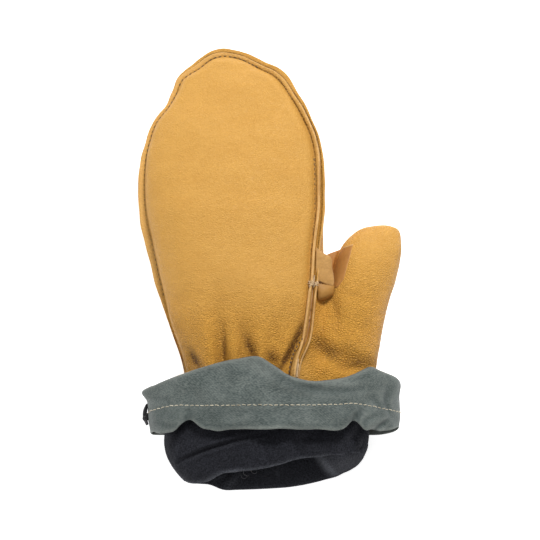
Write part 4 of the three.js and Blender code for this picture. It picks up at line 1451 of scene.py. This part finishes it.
        def place(u: np.ndarray, v: np.ndarray) -> np.ndarray:
            """Returns places from inside the seam out to the edge."""
            _, _, root, reach = self.lips.frame(self.path, u * last)
            sewn = 0.2
            share = np.clip((v - sewn) / (1 - sewn), 0, 1)[:, None]
            return root + reach * share - UP * 1.2 * np.clip(1 - v / sewn, 0, 1)[:, None]

        made = bench.sheet("palm_seam_edge", 300, 14, place, (540, 5))
        points = bench.places(made.data)
        at, gap = self.path.nearest(points)
        # Painted shade at the root of this edge and along the line where the back's edge ends over it.
        shaded = self.lips.table(at * SEAM_ROWS / last)[0] + 0.75
        groove = np.exp(-((gap - shaded) / 0.55) ** 2) * smooth_step(at, 225, 262)
        bench.paint(made.data, Layer.COARSE, np.full(len(points), 0.2))
        bench.paint(made.data, Layer.HOLLOW, 0.75 * np.exp(-(gap / 1.6) ** 2) + 0.6 * groove)
        bench.turn_up(made.data)
        bench.thicken(made, self.lips.thickness, edge=1)
        return bench.dress(made, Slot.LEATHER, bench.finishes.hide, bench.finishes.cut)


@dataclass
class SeamStitches:
    """The brown thread along the seam."""

    path: SeamPath
    lips: SeamLips
    pitch: float = 3.4
    # Where the first stitch lies, and the shares of the seam whose stitches can be seen
    first: float = 78.0
    shown: tuple[tuple[float, float], ...] = ((0.0, 0.54), (0.688, 0.778))

    def build(self, bench: Bench) -> bpy.types.Object:
        """Sets the stitches.

        Args:
            bench: The bench.

        Returns:
            All the stitches as one object.
        """
        at = np.arange(self.first, self.path.at[-1], self.pitch)
        share = at / self.path.at[-1]
        at = at[np.any([(share > low) & (share < high) for low, high in self.shown], axis=0)]
        root, reach, _, _ = self.lips.frame(self.path, at)
        way = self.path.read(self.path.way, at)
        out = np.cross(way, unit(reach))
        out *= np.sign(out[:, 2:3] + 1e-9)
        inward = np.where(at > self.path.at[-1] * 0.6, 0.9, 0.0)[:, None] * self.path.read(self.path.out, at)
        spots = root + unit(reach) * 0.35 + out * 0.34 - inward
        turned = way + 0.12 * np.cross(out, way)
        made = bench.beads("seam_stitches", spots, turned, out, (1.05, 0.36, 0.26))
        return bench.dress(made, Slot.LEATHER, bench.finishes.brown_thread)


@dataclass
class Crotch:
    """What is sewn in between hand and thumb: the tab, the flap and the inner side."""

    skin: Surface
    thickness: float = 1.2

    def patch(self, bench: Bench, name: str, rows: Table, bow: float, height: Callable) -> bpy.types.Object:
        """Cuts a small piece of leather and lays it where the camera sees it.

        Args:
            bench: The bench.
            name: The object's name.
            rows: The left and right ends of its rows as the camera sees them, from the wrist's end up.
            bow: How far its middle swells.
            height: Gives heights for shares across and along, and the seen places.

        Returns:
            The object.
        """
        def place(u: np.ndarray, v: np.ndarray) -> np.ndarray:
            """Returns places between the ends of the rows."""
            ends = rows(v)
            x = ends[0] * (1 - u) + ends[2] * u
            seen = ends[1] * (1 - u) + ends[3] * u
            swell = (4 * u * (1 - u)) ** 0.7 * (4 * v * (1 - v)) ** 0.7
            z = height(u, v, np.stack([x, seen], -1)) + bow * swell
            return np.stack([x, seen - DRIFT * z, z], -1)

        made = bench.sheet(name, 16, 20, place, (14, 22))
        bench.turn_up(made.data)
        bench.thicken(made, self.thickness, edge=1)
        return made

    def on_skin(self, lift: float) -> Callable:
        """Returns heights that follow the skin at a distance from it."""
        return lambda u, v, seen: self.skin.run(seen, lift)[:, 2]

    def build(self, bench: Bench) -> None:
        """Makes all the small pieces.

        Args:
            bench: The bench.
        """
        triangle = Table(
            (0, 67.0, 80.8, 69.6, 81.6), (0.25, 65.5, 86.5, 73.6, 87.0), (0.55, 63.8, 93.5, 75.8, 94.5),
            (0.8, 62.6, 100.0, 78.3, 103.0), (1, 63.4, 103.8, 80.2, 110.6),
        )
        # The inner side is a darker copy of the leather, standing in for the shade that falls on it.
        inner = self.patch(bench, "thumb_inner_side", triangle, 0.3, self.on_skin(0.7))
        bench.dress(inner, Slot.LEATHER, bench.finishes.inner, bench.finishes.cut)
        # A light strip in the cut-edge colour along the inner seam's ridge, partly its raw edge and partly
        # standing in for the highlight on that ridge.
        band = Table((0, 73.6, 107.6, 80.2, 109.6), (1, 73.4, 108.2, 80.4, 110.7))
        rim = self.patch(bench, "thumb_inner_rim", band, 0.2, self.on_skin(0.85))
        bench.dress(rim, Slot.LEATHER, bench.finishes.cut, bench.finishes.cut)
        petal = Table(
            (0, 56.6, 72.6, 60.0, 72.9), (0.2, 56.6, 74.0, 65.0, 74.6), (0.5, 56.6, 77.5, 67.9, 78.0),
            (0.8, 56.6, 81.5, 68.2, 82.0), (1, 56.6, 85.5, 67.0, 85.0),
        )
        # The flap is a darker copy of the leather, standing in for its shade.
        flap = self.patch(bench, "crotch_flap", petal, 1.8,
                          lambda u, v, seen: 36.6 - 3.4 * u ** 1.5 - 3.6 * (1 - v) ** 2)
        bench.dress(flap, Slot.LEATHER, bench.finishes.flap, bench.finishes.inner)
        square = Table(
            (0, 55.6, 86.6, 66.8, 81.9), (0.08, 55.6, 88, 68.0, 84.6), (0.3, 55.6, 91.5, 67.6, 90),
            (0.5, 55.6, 95.5, 66.7, 94.6), (0.75, 55.8, 100.5, 66.5, 99.6), (0.9, 56.0, 104, 64.8, 102.6),
            (1, 56.4, 108.6, 60.6, 104.2),
        )

        def curled(u: np.ndarray, v: np.ndarray, seen: np.ndarray) -> np.ndarray:
            """Returns the tab's heights, which sink to its free side and roll a little."""
            roll = 0.5 * np.sin(u * 4 + v * 3) - 0.6 * np.sin(v * 5)
            return 39.4 - 3.8 * u ** 1.4 + roll - 0.9 * (1 - v) ** 3

        tab = self.patch(bench, "crotch_tab_flesh_side", square, 0.5, curled)
        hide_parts("crotch_tab")
        bench.dress(tab, Slot.SUEDE, bench.finishes.suede, bench.finishes.cut)


@dataclass
class SeamKnot:
    """The cream thread that ties off the seam beside the tab, and its tail near the cuff."""

    lips: Surface
    middle: tuple[float, float] = (53.8, 83.8)

    def build(self, bench: Bench) -> None:
        """Ties the threads.

        Args:
            bench: The bench.
        """
        x, seen = self.middle
        crosses = (((-3.6, 1.9), (-0.5, 1.3), (3.4, 0.4)), ((-3.3, -1.4), (0, -0.2), (3.0, 1.9)),
                   ((-3.8, 0.4), (-0.6, 0.1), (3.2, -0.9)), ((-1.0, 2.7), (0.2, 0.6), (-0.2, -2.6)),
                   ((-2.2, -2.3), (-0.8, 0.6), (1.4, 2.3)), ((0.8, -2.2), (1.6, -0.4), (3.4, 1.2)),
                   ((-2.9, 2.2), (-0.9, -0.4), (0.4, -2.0)))
        runs = [self.smooth(np.array(c) + (x, seen), 0.42) for c in crosses]
        tails = (((44.6, 34.5), (44.1, 31.4), (43.5, 28.3)), ((43.7, 29.2), (43.4, 25.8), (42.9, 22.0)),
                 ((44.7, 31.5), (44.0, 27.0), (43.6, 22.5)))
        runs += [self.smooth(np.array(t), 0.4) for t in tails]
        made = bench.tubes("seam_tie_threads", runs, 0.32, 2, 0.6)
        bench.dress(made, Slot.LEATHER, bench.finishes.cream_thread)
        self.low_stitches(bench)

    def low_stitches(self, bench: Bench) -> None:
        """Sets the large sunk stitches beside the seam, just above the cuff."""
        line = Table((0, 46.6, 47.6), (1, 42.3, 40.4), (2, 39.6, 33.5), (3, 38.2, 25.5), (4, 37.4, 19.0))
        share = np.linspace(0, 4, 12)
        flat = line(share).T
        found = [self.lips.seen(x, y, 0.12) for x, y in flat]
        places, ups = np.array([f[0] for f in found]), np.array([f[1] for f in found])
        way = np.gradient(places, axis=0) + (0.25, 0.0, 0.0)
        made = bench.beads("wrist_seam_stitches", places, way, ups, (1.05, 0.52, 0.3))
        bench.dress(made, Slot.LEATHER, bench.finishes.brown_thread)

    def smooth(self, places: np.ndarray, lift: float) -> np.ndarray:
        """Returns a run over the lips through a few seen places, bridging what lies deep between them."""
        table = Table(*[(float(i), *p) for i, p in enumerate(places)])
        flat = table(np.linspace(0, len(places) - 1, 6 * len(places))).T
        line = self.lips.run(flat, lift)
        for _ in range(3):
            line[:, 2] = np.maximum(line[:, 2], averaged(line, 1)[:, 2])
        return line


@dataclass
class Cuff:
    """The canvas cuff: up from the leather's end, turned over, and down to its hem."""

    left: float = -55.0
    right: float = 111.0
    top: float = 45.0
    waist: float = 9.0
    base: float = 0.1
    power: float = 2.35
    under: float = 3.2
    gap: float = 4.4
    rise: float = 27.0
    drop: float = 21.0
    start: float = 4.0
    # Shares along the cloth: where it starts to turn over, where it has turned, and the row of stitches
    turned: float = 0.30
    outer: float = 0.44
    sewn: float = 0.74
    thickness: float = 1.2
    stitch_pitch: float = 3.5
    size: tuple[float, float] = (370, 52)
    columns: int = 150
    rows: int = 44
    dents: tuple = (
        Dent(52, 12, 26, 6.0, 1.6, -6), Dent(79, -7, 4.5, 7, 2.4, 0), Dent(-29, -8, 5, 5, 2.0),
        Dent(24, 18, 14, 8, -1.2, 10), Dent(-44, 2, 8, 9, 1.2), Dent(101, 8, 6, 10, 1.4),
        Dent(0, 0, 30, 6, 0.9), Dent(88, -9, 5, 4, -1.8, -20), Dent(-20, 10, 12, 6, 0.7, 15),
        Dent(40, -8, 16, 5, -0.7), Dent(-38, -9, 6, 4, -1.2, -20), Dent(90, 4, 4, 9, 1.0, -20),
    )
    creases: tuple = (
        Crease(((20, 31), (30, 23), (45, 17), (62, 14), (80, 14), (98, 17)), 0.7, 2.0),
        Crease(((77, -13), (79, -7), (84, -1), (86, 4)), 1.6, 1.5),
        Crease(((-31, -12), (-28.5, -7), (-27, 0)), 1.4, 1.5),
        Crease(((90, -16), (94, -12), (98, -9), (102, -6.5)), 2.2, 1.2),
        Crease(((84, -12), (88, -6), (95, -2)), 1.0, 1.4), Crease(((-54, 6), (-45, 8), (-36, 6)), 0.5, 1.8),
        Crease(((-10, 20), (-2, 12), (10, 8)), 0.5, 2.4), Crease(((104, 16), (101, 6), (104, -4)), 1.0, 1.8),
        Crease(((34, -8), (48, -10.5), (62, -10)), 0.6, 1.6),
        Crease(((-46, -8), (-36, -11), (-24, -9)), 0.7, 1.5),
        Crease(((-16, -9), (-2, -11), (14, -9)), 0.5, 1.6), Crease(((92, 10), (97, 4), (98, -3)), 0.9, 1.5),
    )
    scuffs: tuple = (
        Dent(22, 27, 10, 4, 0.5, -25), Dent(-20, 10, 9, 5, 0.25, 30), Dent(30, -10, 26, 1.6, 0.4, 2),
        Dent(72, 17, 20, 2.2, 0.4, 4), Dent(88, 13, 16, 1.2, 0.4, 3), Dent(95, -10.5, 7, 0.9, 0.7, 42),
        Dent(10, 31, 7, 3, 0.3, -15), Dent(-30, -10, 10, 2.2, 0.35, 18),
    )

    def __post_init__(self) -> None:
        """Reads the turned edge and the hem round the cuff, from the thumb's side."""
        self.edges = Table(
            (0, 0.57, 0.62), (15, 0.69, 0.70), (28, 0.76, 0.86), (35, 0.81, 0.87), (41, 0.88, 0.84),
            (47, 0.79, 0.90), (51, 0.71, 0.76), (55, 0.64, 0.56), (60, 0.57, 0.86), (66, 0.52, 0.92),
            (75, 0.475, 0.91), (85, 0.60, 0.91), (90, 0.86, 0.92), (95, 1.09, 0.92), (103, 1.02, 0.92),
            (113, 0.92, 0.92), (119, 0.85, 0.88), (128, 0.74, 0.54), (133, 0.69, 0.74), (139, 0.64, 0.92),
            (150, 0.55, 0.93), (162, 0.47, 0.88), (180, 0.43, 0.80), (200, 0.56, 0.86), (225, 0.6, 0.85),
            (270, 0.6, 0.85), (315, 0.58, 0.85), (335, 0.57, 0.78), (360, 0.57, 0.62),
        )

    def section(self, angle: np.ndarray, y: np.ndarray, inset: np.ndarray | float) -> np.ndarray:
        """Returns places round the cuff, moved in by the inset."""
        x, z = oval(angle, (self.left + inset, self.right - inset),
                    (self.top - inset, self.waist, self.base + inset), (self.power, self.under))
        return np.stack([x, y, z], -1)

    def wrist(self, angle: np.ndarray, y: np.ndarray) -> np.ndarray:
        """Returns places round the leather's end, where the cuff is sewn on."""
        x, z = oval(angle, (-30.6, 94.4), (36.6, 16, -2), (2.7, self.under))
        lowered = 16 + (z - 16) * (1 - 6.0 / 20.6 * smooth_step(x, 48, 72))
        return np.stack([x, y, np.where(np.sin(angle) > 0, lowered, np.maximum(z, 4.0))], -1)

    def place(self, u: np.ndarray, v: np.ndarray) -> np.ndarray:
        """Places the canvas.

        Args:
            u: Shares round the cuff, from the thumb's side over the back.
            v: Shares along it, from the leather's end to the hem.

        Returns:
            Places in design millimetres.
        """
        angle = u * 2 * math.pi
        rise, drop = self.edges(np.degrees(angle))
        fold, hem = rise * self.rise, -drop * self.drop
        rises = 2.0 * np.exp(-((angle - 0.9) / 0.24) ** 2) + 1.5 * np.exp(-((angle - 2.42) / 0.25) ** 2)
        stitch = -3.2 - 0.6 * np.cos(2 * angle) + rises
        ease = self.gap / 2
        inner = np.clip(v / self.turned, 0, 1)
        bend = np.clip((v - self.turned) / (self.outer - self.turned), 0, 1) * math.pi
        upper = np.clip((v - self.outer) / (self.sewn - self.outer), 0, 1)
        lower = np.clip((v - self.sewn) / (1 - self.sewn), 0, 1)
        crown = fold - ease
        y = np.where(v < self.turned, self.start + (crown - self.start) * inner, crown + ease * np.sin(bend))
        y = np.where(v > self.outer, crown + (stitch - crown) * upper + (hem - stitch) * lower, y)
        inset = np.where(v < self.turned, self.gap, ease * (1 + np.cos(bend)))
        inset = np.where(v > self.outer, 0, inset)
        outer = self.section(angle, y, inset)
        flare = np.exp(-((angle - math.pi) / 0.35) ** 2) * np.exp(-((v - self.outer) / 0.09) ** 2)
        outer[:, 0] -= 4.2 * flare
        outer[:, 0] += 1.6 * np.exp(-((angle - math.pi) / 0.4) ** 2) * smooth_step(v, 0.78, 1.0)
        share = smooth_step(1 - inner, 0, 1)[:, None]
        return np.where((v < self.turned)[:, None], outer * (1 - share) + self.wrist(angle, y) * share, outer)

    def build(self, bench: Bench) -> bpy.types.Object:
        """Makes the canvas and its stitching.

        Args:
            bench: The bench.

        Returns:
            The canvas.
        """
        made = bench.sheet("cuff_canvas", self.columns, self.rows, self.place, self.size, closed=True)
        mesh = made.data
        bench.even(mesh)
        self.face_out(bench, made)
        points = bench.places(mesh)
        normals = bench.vectors(mesh, "normal")
        cloth = bench.shares(mesh, self.size)
        outside = smooth_step(cloth[:, 1], 0.36, 0.46)
        up = smooth_step(normals[:, 2], -0.2, 0.4) * outside
        dents = pressed(self.dents, points) * up
        lines = pressed(self.creases, points) * up
        sewn = 0.45 * np.exp(-((cloth[:, 1] - self.sewn) / 0.012) ** 2) * outside
        wave = 0.7 * Ripples(21, 32)(points) + 0.3 * Ripples(22, 13)(points)
        wave = wave * smooth_step(normals[:, 2], -0.4, 0.3)
        moved = points - UP * (dents * 0.8)[:, None]
        moved += normals * (wave * outside - lines - sewn)[:, None]
        hem = smooth_step(cloth[:, 1], 0.84, 1.0) * smooth_step(normals[:, 2], -0.2, 0.4)
        moved[:, 1] += hem * (0.3 * Ripples(23, 19)(points) + 0.15 * Ripples(24, 7)(points))
        moved[:, 2] += hem * 0.6 * Ripples(25, 15)(points)
        moved[:, 2] = np.maximum(moved[:, 2], np.minimum(points[:, 2], 0.2))
        bench.move(mesh, moved)
        # Lighter where the canvas is scuffed, at the turned fold, at the hem and on crease ridges, as waxed
        # canvas wears; the inside of the back hem lies in shade and gets painted light.
        fold = np.exp(-((cloth[:, 1] - 0.4) / 0.045) ** 2)
        rim = smooth_step(cloth[:, 1], 0.955, 1.0)
        rubbing_and_painted_light = 0.8 * pressed(self.scuffs, points) * up
        under_hem = smooth_step(cloth[:, 1], 0.82, 0.92) * smooth_step(-normals[:, 2], 0.0, 0.5)
        low = 0.24 * outside * smooth_step(cloth[:, 1], self.sewn, 0.82)
        rubbing_and_painted_light = rubbing_and_painted_light + np.maximum(fold * 0.7, rim) + np.clip(-lines * 1.2, 0, 0.45) + 0.8 * under_hem
        bench.paint(mesh, Layer.EDGE, rubbing_and_painted_light)
        # Painted shade in the dents and creases and on the under layer below the fold; the canvas is also
        # made darker below the row of stitches.
        sunk = np.clip(dents / 3, 0, 1) * 0.6 + np.clip(lines, 0, 1) * 0.7 + (1 - outside) * 0.5 + low
        bench.paint(mesh, Layer.HOLLOW, sunk)
        bench.thicken(made, self.thickness)
        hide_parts("cuff")
        bench.dress(made, Slot.CANVAS, bench.finishes.canvas)
        self.stitch(bench, mesh, cloth)
        self.cord(bench)
        return made

    def face_out(self, bench: Bench, made: bpy.types.Object) -> None:
        """Turns the faces so that the hem's outside looks away from the hand."""
        low = min(made.data.polygons, key=lambda p: p.center.y)
        middle = Vector(bench.metres(np.array([28, -15, 20])))
        if low.normal.dot(low.center - middle) < 0:
            made.data.flip_normals()

    def stitch(self, bench: Bench, mesh: bpy.types.Mesh, cloth: np.ndarray) -> None:
        """Sews the pale row round the outside."""
        row = np.abs(cloth[:, 1] - round(self.sewn * self.rows) / self.rows) < 0.3 / self.rows
        points = bench.places(mesh)[row]
        normals = bench.vectors(mesh, "normal")[row]
        order = np.argsort(cloth[row][:, 0])
        points, normals = points[order], normals[order]
        points, normals = np.vstack([points, points[:1]]), np.vstack([normals, normals[:1]])
        far = np.concatenate([[0], np.cumsum(np.linalg.norm(np.diff(points, axis=0), axis=1))])
        draw = np.random.default_rng(5)
        runs = []
        for start in np.arange(0, far[-1] - self.stitch_pitch, self.stitch_pitch):
            length = 2.5 + draw.uniform(-0.2, 0.2)
            at = start + np.linspace(0, 1, 5) * length
            spot, out = between(at, far, points), between(at, far, normals)
            arch = np.array([-0.25, 0.28, 0.36, 0.28, -0.25])[:, None]
            slant = draw.uniform(-0.28, 0.28) * np.linspace(-1, 1, 5)[:, None] * (0, 1, 0)
            run = spot + unit(out) * arch + slant + (0, draw.uniform(-0.15, 0.15), 0)
            run[:, 2] = np.maximum(run[:, 2], 0.35)
            runs.append(run)
        made = bench.tubes("cuff_stitches", runs, 0.29, 1)
        bench.dress(made, Slot.CANVAS, bench.finishes.pale_thread)

    def cord(self, bench: Bench) -> None:
        """Makes the short black elastic with its knot, at the little finger's side."""
        turn = np.linspace(0, 1, 30)
        loop = np.stack([-55.0 - 2.2 * np.sin(turn * math.pi), 1.6 - 13.2 * turn,
                         9.3 + 1.2 * np.sin(turn * 7)], -1)
        back = loop[::-1] + np.stack([0.9 * np.sin(turn * math.pi), turn * 0, 1.7 * np.sin(turn * 5 + 1)], -1)
        angle = np.linspace(0, 4.4 * math.pi, 60)
        knot = np.stack([-56.0 + 1.3 * np.cos(angle), -8.2 + 1.2 * np.sin(angle) + 0.16 * angle,
                         9.2 + 1.1 * np.sin(angle * 0.5)], -1)
        made = bench.tubes("cuff_elastic", [loop, back, knot], 0.95, 3)
        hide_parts("cuff_cord")
        bench.dress(made, Slot.ELASTIC, bench.finishes.elastic)


@dataclass
class Liner:
    """The wool liner: a bag inside the hand, whose mouth comes out of the cuff at a slant."""

    form: HandForm
    thickness: float = 2.2
    size: tuple[float, float] = (320, 56)
    # The bag's section as a share of the hand's, how far it stays under the leather, and its least height
    bag_share: tuple[float, float, float] = (0.87, 0, 0.62)
    cover: float = 9.0
    lowest_roof: float = 12.0
    columns: int = 140
    rows: int = 60
    creases: tuple = (
        Crease(((-38, -36.5), (-22.6, -28.2), (-13.9, -24.7), (-0.7, -20.8), (14.5, -15.8), (26, -13.5)),
               3.6, 1.25),
        Crease(((-42, -24), (-32, -21), (-18, -14)), 0.7, 2.2),
        Crease(((40, -20), (52, -17), (66, -18)), 0.7, 2.6),
        Crease(((76, -22), (82, -16), (84, -9)), 1.0, 2.2),
        Crease(((4, -32), (20, -29), (36, -27)), 0.5, 2.6),
    )
    folds: tuple = (
        Crease(((55, -29), (60, -33), (65, -39), (72, -45)), 3.6, 1.5),
        Crease(((-4, -53), (2, -46), (8, -40)), 3.2, 1.5),
        Crease(((-14, -50), (-8, -45), (2, -42)), 1.8, 1.6),
        Crease(((26, -48), (32, -40), (36, -34)), 1.4, 2.4),
    )

    def __post_init__(self) -> None:
        """Reads the rim of the mouth round the liner."""
        self.rim = Table(
            (0, 88, -31, 9), (25, 84.5, -31.5, 17), (50, 70, -33.5, 26), (66, 56, -35.5, 28.5),
            (80, 41, -38, 30), (95, 24, -42.5, 31), (110, 8, -45, 30.5), (125, -4, -46.5, 28.5),
            (140, -15, -51, 24), (165, -26, -51.6, 16.5), (185, -30.2, -49.4, 10), (208, -24, -50.2, 4),
            (224, -15, -50.6, 2.4), (238, -3, -54.2, 1.8), (275, 33, -52.8, 1.4), (305, 60, -47.8, 1.4),
            (335, 81.4, -38.4, 2.6), (360, 88, -31, 9),
        )

    def ring(self, angle: np.ndarray, y: float, left: float, right: float, top: float, waist: float,
             base: float = 1.2) -> np.ndarray:
        """Returns places round one full section of the liner."""
        x, z = oval(angle, (left, right), (top, waist, base), (2.3, 3.0))
        return np.stack([x, np.full_like(x, y), z], -1)

    def inner_end(self, angle: np.ndarray) -> np.ndarray:
        """Returns places round the end where the mouth and the bag meet."""
        return self.ring(angle, 6, -24, 86, 35.5, 19, 9.5)

    def place(self, u: np.ndarray, v: np.ndarray) -> np.ndarray:
        """Places the wool from inside the cuff out to its rim."""
        angle = u * 2 * math.pi
        start = self.inner_end(angle)
        first = self.ring(angle, -8, -49, 91, 37, 12, 4.0)
        second = self.ring(angle, -22, -50, 92.5, 38.5, 11)
        x, y, z = self.rim(np.degrees(angle))
        end = np.stack([x, y, z], -1)
        t = v[:, None]
        short = np.minimum(second[:, 1], end[:, 1] + 9)
        second[:, 1] = (short + second[:, 1]) / 2
        middle = 3 * first * t * (1 - t) ** 2 + 3 * second * t * t * (1 - t)
        return start * (1 - t) ** 3 + middle + end * t ** 3

    def build(self, bench: Bench) -> bpy.types.Object:
        """Makes the wool.

        Args:
            bench: The bench.

        Returns:
            The liner.
        """
        made = bench.sheet("liner_wool", self.columns, self.rows, self.place, self.size, closed=True)
        mesh = made.data
        bench.even(mesh)
        low = min(mesh.polygons, key=lambda p: p.center.z)
        if low.normal.z > 0:
            mesh.flip_normals()
        points = bench.places(mesh)
        normals = bench.vectors(mesh, "normal")
        seen = seen_at(points)
        up = smooth_step(normals[:, 2], -0.1, 0.5)
        down = 1 - up
        lines = pressed(self.creases, points) * up
        wave = 0.55 * Ripples(31, 24)(points) + 0.3 * Ripples(32, 9)(points)
        moved = points + normals * ((wave * up) - lines)[:, None]
        ridge = np.maximum(pressed(self.folds, points), 0)
        along = bench.shares(mesh, self.size)[:, 1]
        beside = smooth_step(points[:, 0] + 0.62 * (seen + 29), 53, 63)
        shut = np.interp(points[:, 0], (50, 60, 70, 85, 91), (24, 23.5, 21.5, 13, 6))
        shut = np.maximum(shut - moved[:, 2], 0) * beside * smooth_step(1 - along, 0.0, 0.26)
        lump = 0.7 * np.maximum(Ripples(33, 19)(points), 0)
        moved[:, 2] += down * (ridge + 2.5 * beside + lump + shut)
        rim = smooth_step(along, 0.93, 1.0)
        moved[:, 2] += rim * 0.9 * Ripples(34, 16)(points) * up
        moved[:, 2] = np.maximum(moved[:, 2], 0.3)
        bench.move(mesh, moved)
        # Painted highlight along the rim's top, fading to the right, and on the folds inside, and painted
        # light on the inner walls, which lie in shade.
        fading = 1 - smooth_step(points[:, 0], 58, 76)
        lit = np.clip(ridge / 2.4, 0, 1) ** 2 * 0.6 + 0.18 - 0.02 * beside
        bench.paint(mesh, Layer.EDGE, rim ** 2 * (0.3 + 0.5 * up * fading) + down * lit)
        bench.thicken(made, self.thickness)
        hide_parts("liner_mouth")
        bench.dress(made, Slot.WOOL, bench.finishes.wool)
        self.bag(bench)
        self.fibres(bench, Surface(bench, made))
        return made

    def bag(self, bench: Bench) -> None:
        """Makes the wool bag inside the hand, which the mouth leads into."""
        begin, length, size = 4.0, 214.0, (220, 215)

        def place(u: np.ndarray, v: np.ndarray) -> np.ndarray:
            """Returns places from the mouth's inner end to the closed end at the fingertips."""
            angle = u * 2 * math.pi
            y = begin + length * np.sin(v * math.pi / 2)
            first = self.inner_end(angle)
            outer = self.form.ring(y, angle)
            left, right, _, waist, _ = self.form.sections(y)
            middle = np.stack([(left + right) / 2, y, waist], -1)
            narrow = np.sqrt(1 - ((y - begin) / (length + 1)) ** 5)[:, None]
            inner = middle + (outer - middle) * self.bag_share * narrow
            share = smooth_step(y, begin, 46)[:, None]
            places = np.stack([first[:, 0], y, first[:, 2]], -1) * (1 - share) + inner * share
            roof = np.maximum(self.form.over(places[:, 0], y), ThumbForm().over(places[:, 0], y))
            roof = np.maximum(roof - self.cover, self.lowest_roof) + 14 * (1 - smooth_step(y, 5, 9))
            places[:, 2] = np.minimum(places[:, 2], roof)
            return places

        made = bench.sheet("liner_bag_wool", 72, 60, place, size, closed=True)
        bench.even(made.data)
        # Painted light inside the bag.
        bench.paint(made.data, Layer.EDGE, np.full(len(made.data.vertices), 0.1))
        bench.thicken(made, self.thickness)
        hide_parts("liner_bag")
        bench.dress(made, Slot.WOOL, bench.finishes.wool)

    def fibres(self, bench: Bench, wool: Surface) -> None:
        """Adds the few grey loops of stray fibre inside the mouth."""
        runs = []
        for x, seen, size, turn in ((10.5, -41.5, 2.4, 0.2), (15.2, -40.6, 1.8, 1.4), (8.6, -44.0, 2.0, 2.9)):
            angle = np.linspace(0, 5.2, 26)
            across = x + size * np.cos(angle + turn)
            along = seen + size * 0.8 * np.sin(angle + turn) - 0.2 * angle
            flat = np.stack([across, along], -1)
            runs.append(wool.run(flat, 0.5) + UP * (0.5 + 0.5 * np.sin(angle))[:, None])
        made = bench.tubes("liner_stray_fibres", runs, 0.16, 1)
        bench.dress(made, Slot.WOOL, bench.finishes.grey_fibre)


@dataclass
class Stage:
    """The pale floor, the soft lights and the camera."""

    middle: tuple[float, float, float] = (-0.0001, -0.003, 0.020)
    width: float = 0.3564
    lens: float = 200.0
    sensor: float = 36.0
    floor_half: float = 3.0
    surround: float = 0.36

    def build(self, bench: Bench) -> None:
        """Makes them all.

        Args:
            bench: The bench.
        """
        mesh = bpy.data.meshes.new("floor")
        with opened(mesh) as bm:
            bmesh.ops.create_grid(bm, x_segments=1, y_segments=1, size=self.floor_half)
        floor = bench.object("floor", mesh)
        floor.data.materials.append(bench.finishes.floor)
        self.light("key", (0.46, 1.45, 2.0), 0.72, 60.0)
        self.light("fill", (-0.85, -0.3, 1.2), 1.1, 4.2)
        world = bpy.context.scene.world or bpy.data.worlds.new("studio")
        bpy.context.scene.world = world
        world.use_nodes = True
        back = world.node_tree.nodes["Background"]
        Graph(world.node_tree).fill(back, {"Color": (1.0,) * 4, "Strength": self.surround})
        bpy.context.scene.view_settings.view_transform = "Standard"
        self.camera()

    def light(self, name: str, place: tuple[float, float, float], size: float, power: float) -> None:
        """Hangs one soft square light that looks at the mitten.

        Args:
            name: The light's name.
            place: Where it hangs, in metres.
            size: Its side in metres.
            power: In watts.
        """
        data = bpy.data.lights.new(name, "AREA")
        data.size = size
        data.energy = power
        made = bpy.data.objects.new(name, data)
        made.location = place
        made.rotation_euler = (Vector(self.middle) - Vector(place)).to_track_quat("-Z", "Y").to_euler()
        bpy.context.scene.collection.objects.link(made)

    def camera(self) -> None:
        """Sets the camera at the photograph's angle, with a long lens."""
        data = bpy.data.cameras.new("camera")
        data.lens, data.sensor_width = self.lens, self.sensor
        made = bpy.data.objects.new("camera", data)
        far = self.width * self.lens / self.sensor
        angle = math.radians(ELEVATION)
        away = Vector((0, -math.cos(angle), math.sin(angle)))
        made.location = Vector(self.middle) + away * far
        made.rotation_euler = (-away).to_track_quat("-Z", "Y").to_euler()
        bpy.context.scene.collection.objects.link(made)
        bpy.context.scene.camera = made


def main() -> None:
    """Builds the mitten piece by piece."""
    logging.basicConfig(level=logging.INFO, format="%(name)s: %(message)s")
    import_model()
    bench = Bench.from_frame(Finishes())
    LOG.info("finishes ready, wrist at %.2f mm", bench.wrist)
    form, thumb, lips = HandForm(), ThumbForm(), SeamLips()
    path = SeamPath(form)
    LOG.info("seam %.1f mm long, its tip at %.1f mm", path.at[-1], path.tip)
    Stage().build(bench)
    back = BackPanel(form, path, lips).build(bench)
    LOG.info("back panel: %d vertices", len(back.data.vertices))
    skin = PalmSkin(form, thumb, path, lips).build(bench)
    LOG.info("palm and thumb: %d vertices", len(skin.data.vertices))
    SeamStitches(path, lips).build(bench)
    Crotch(Surface(bench, skin)).build(bench)
    SeamKnot(Surface(bench, back, bpy.data.objects["palm_seam_edge"])).build(bench)
    LOG.info("seam stitched, tab and flap sewn in")
    cuff = Cuff().build(bench)
    LOG.info("cuff: %d vertices", len(cuff.data.vertices))
    liner = Liner(form).build(bench)
    LOG.info("liner: %d vertices", len(liner.data.vertices))


if __name__ == "__main__":
    main()
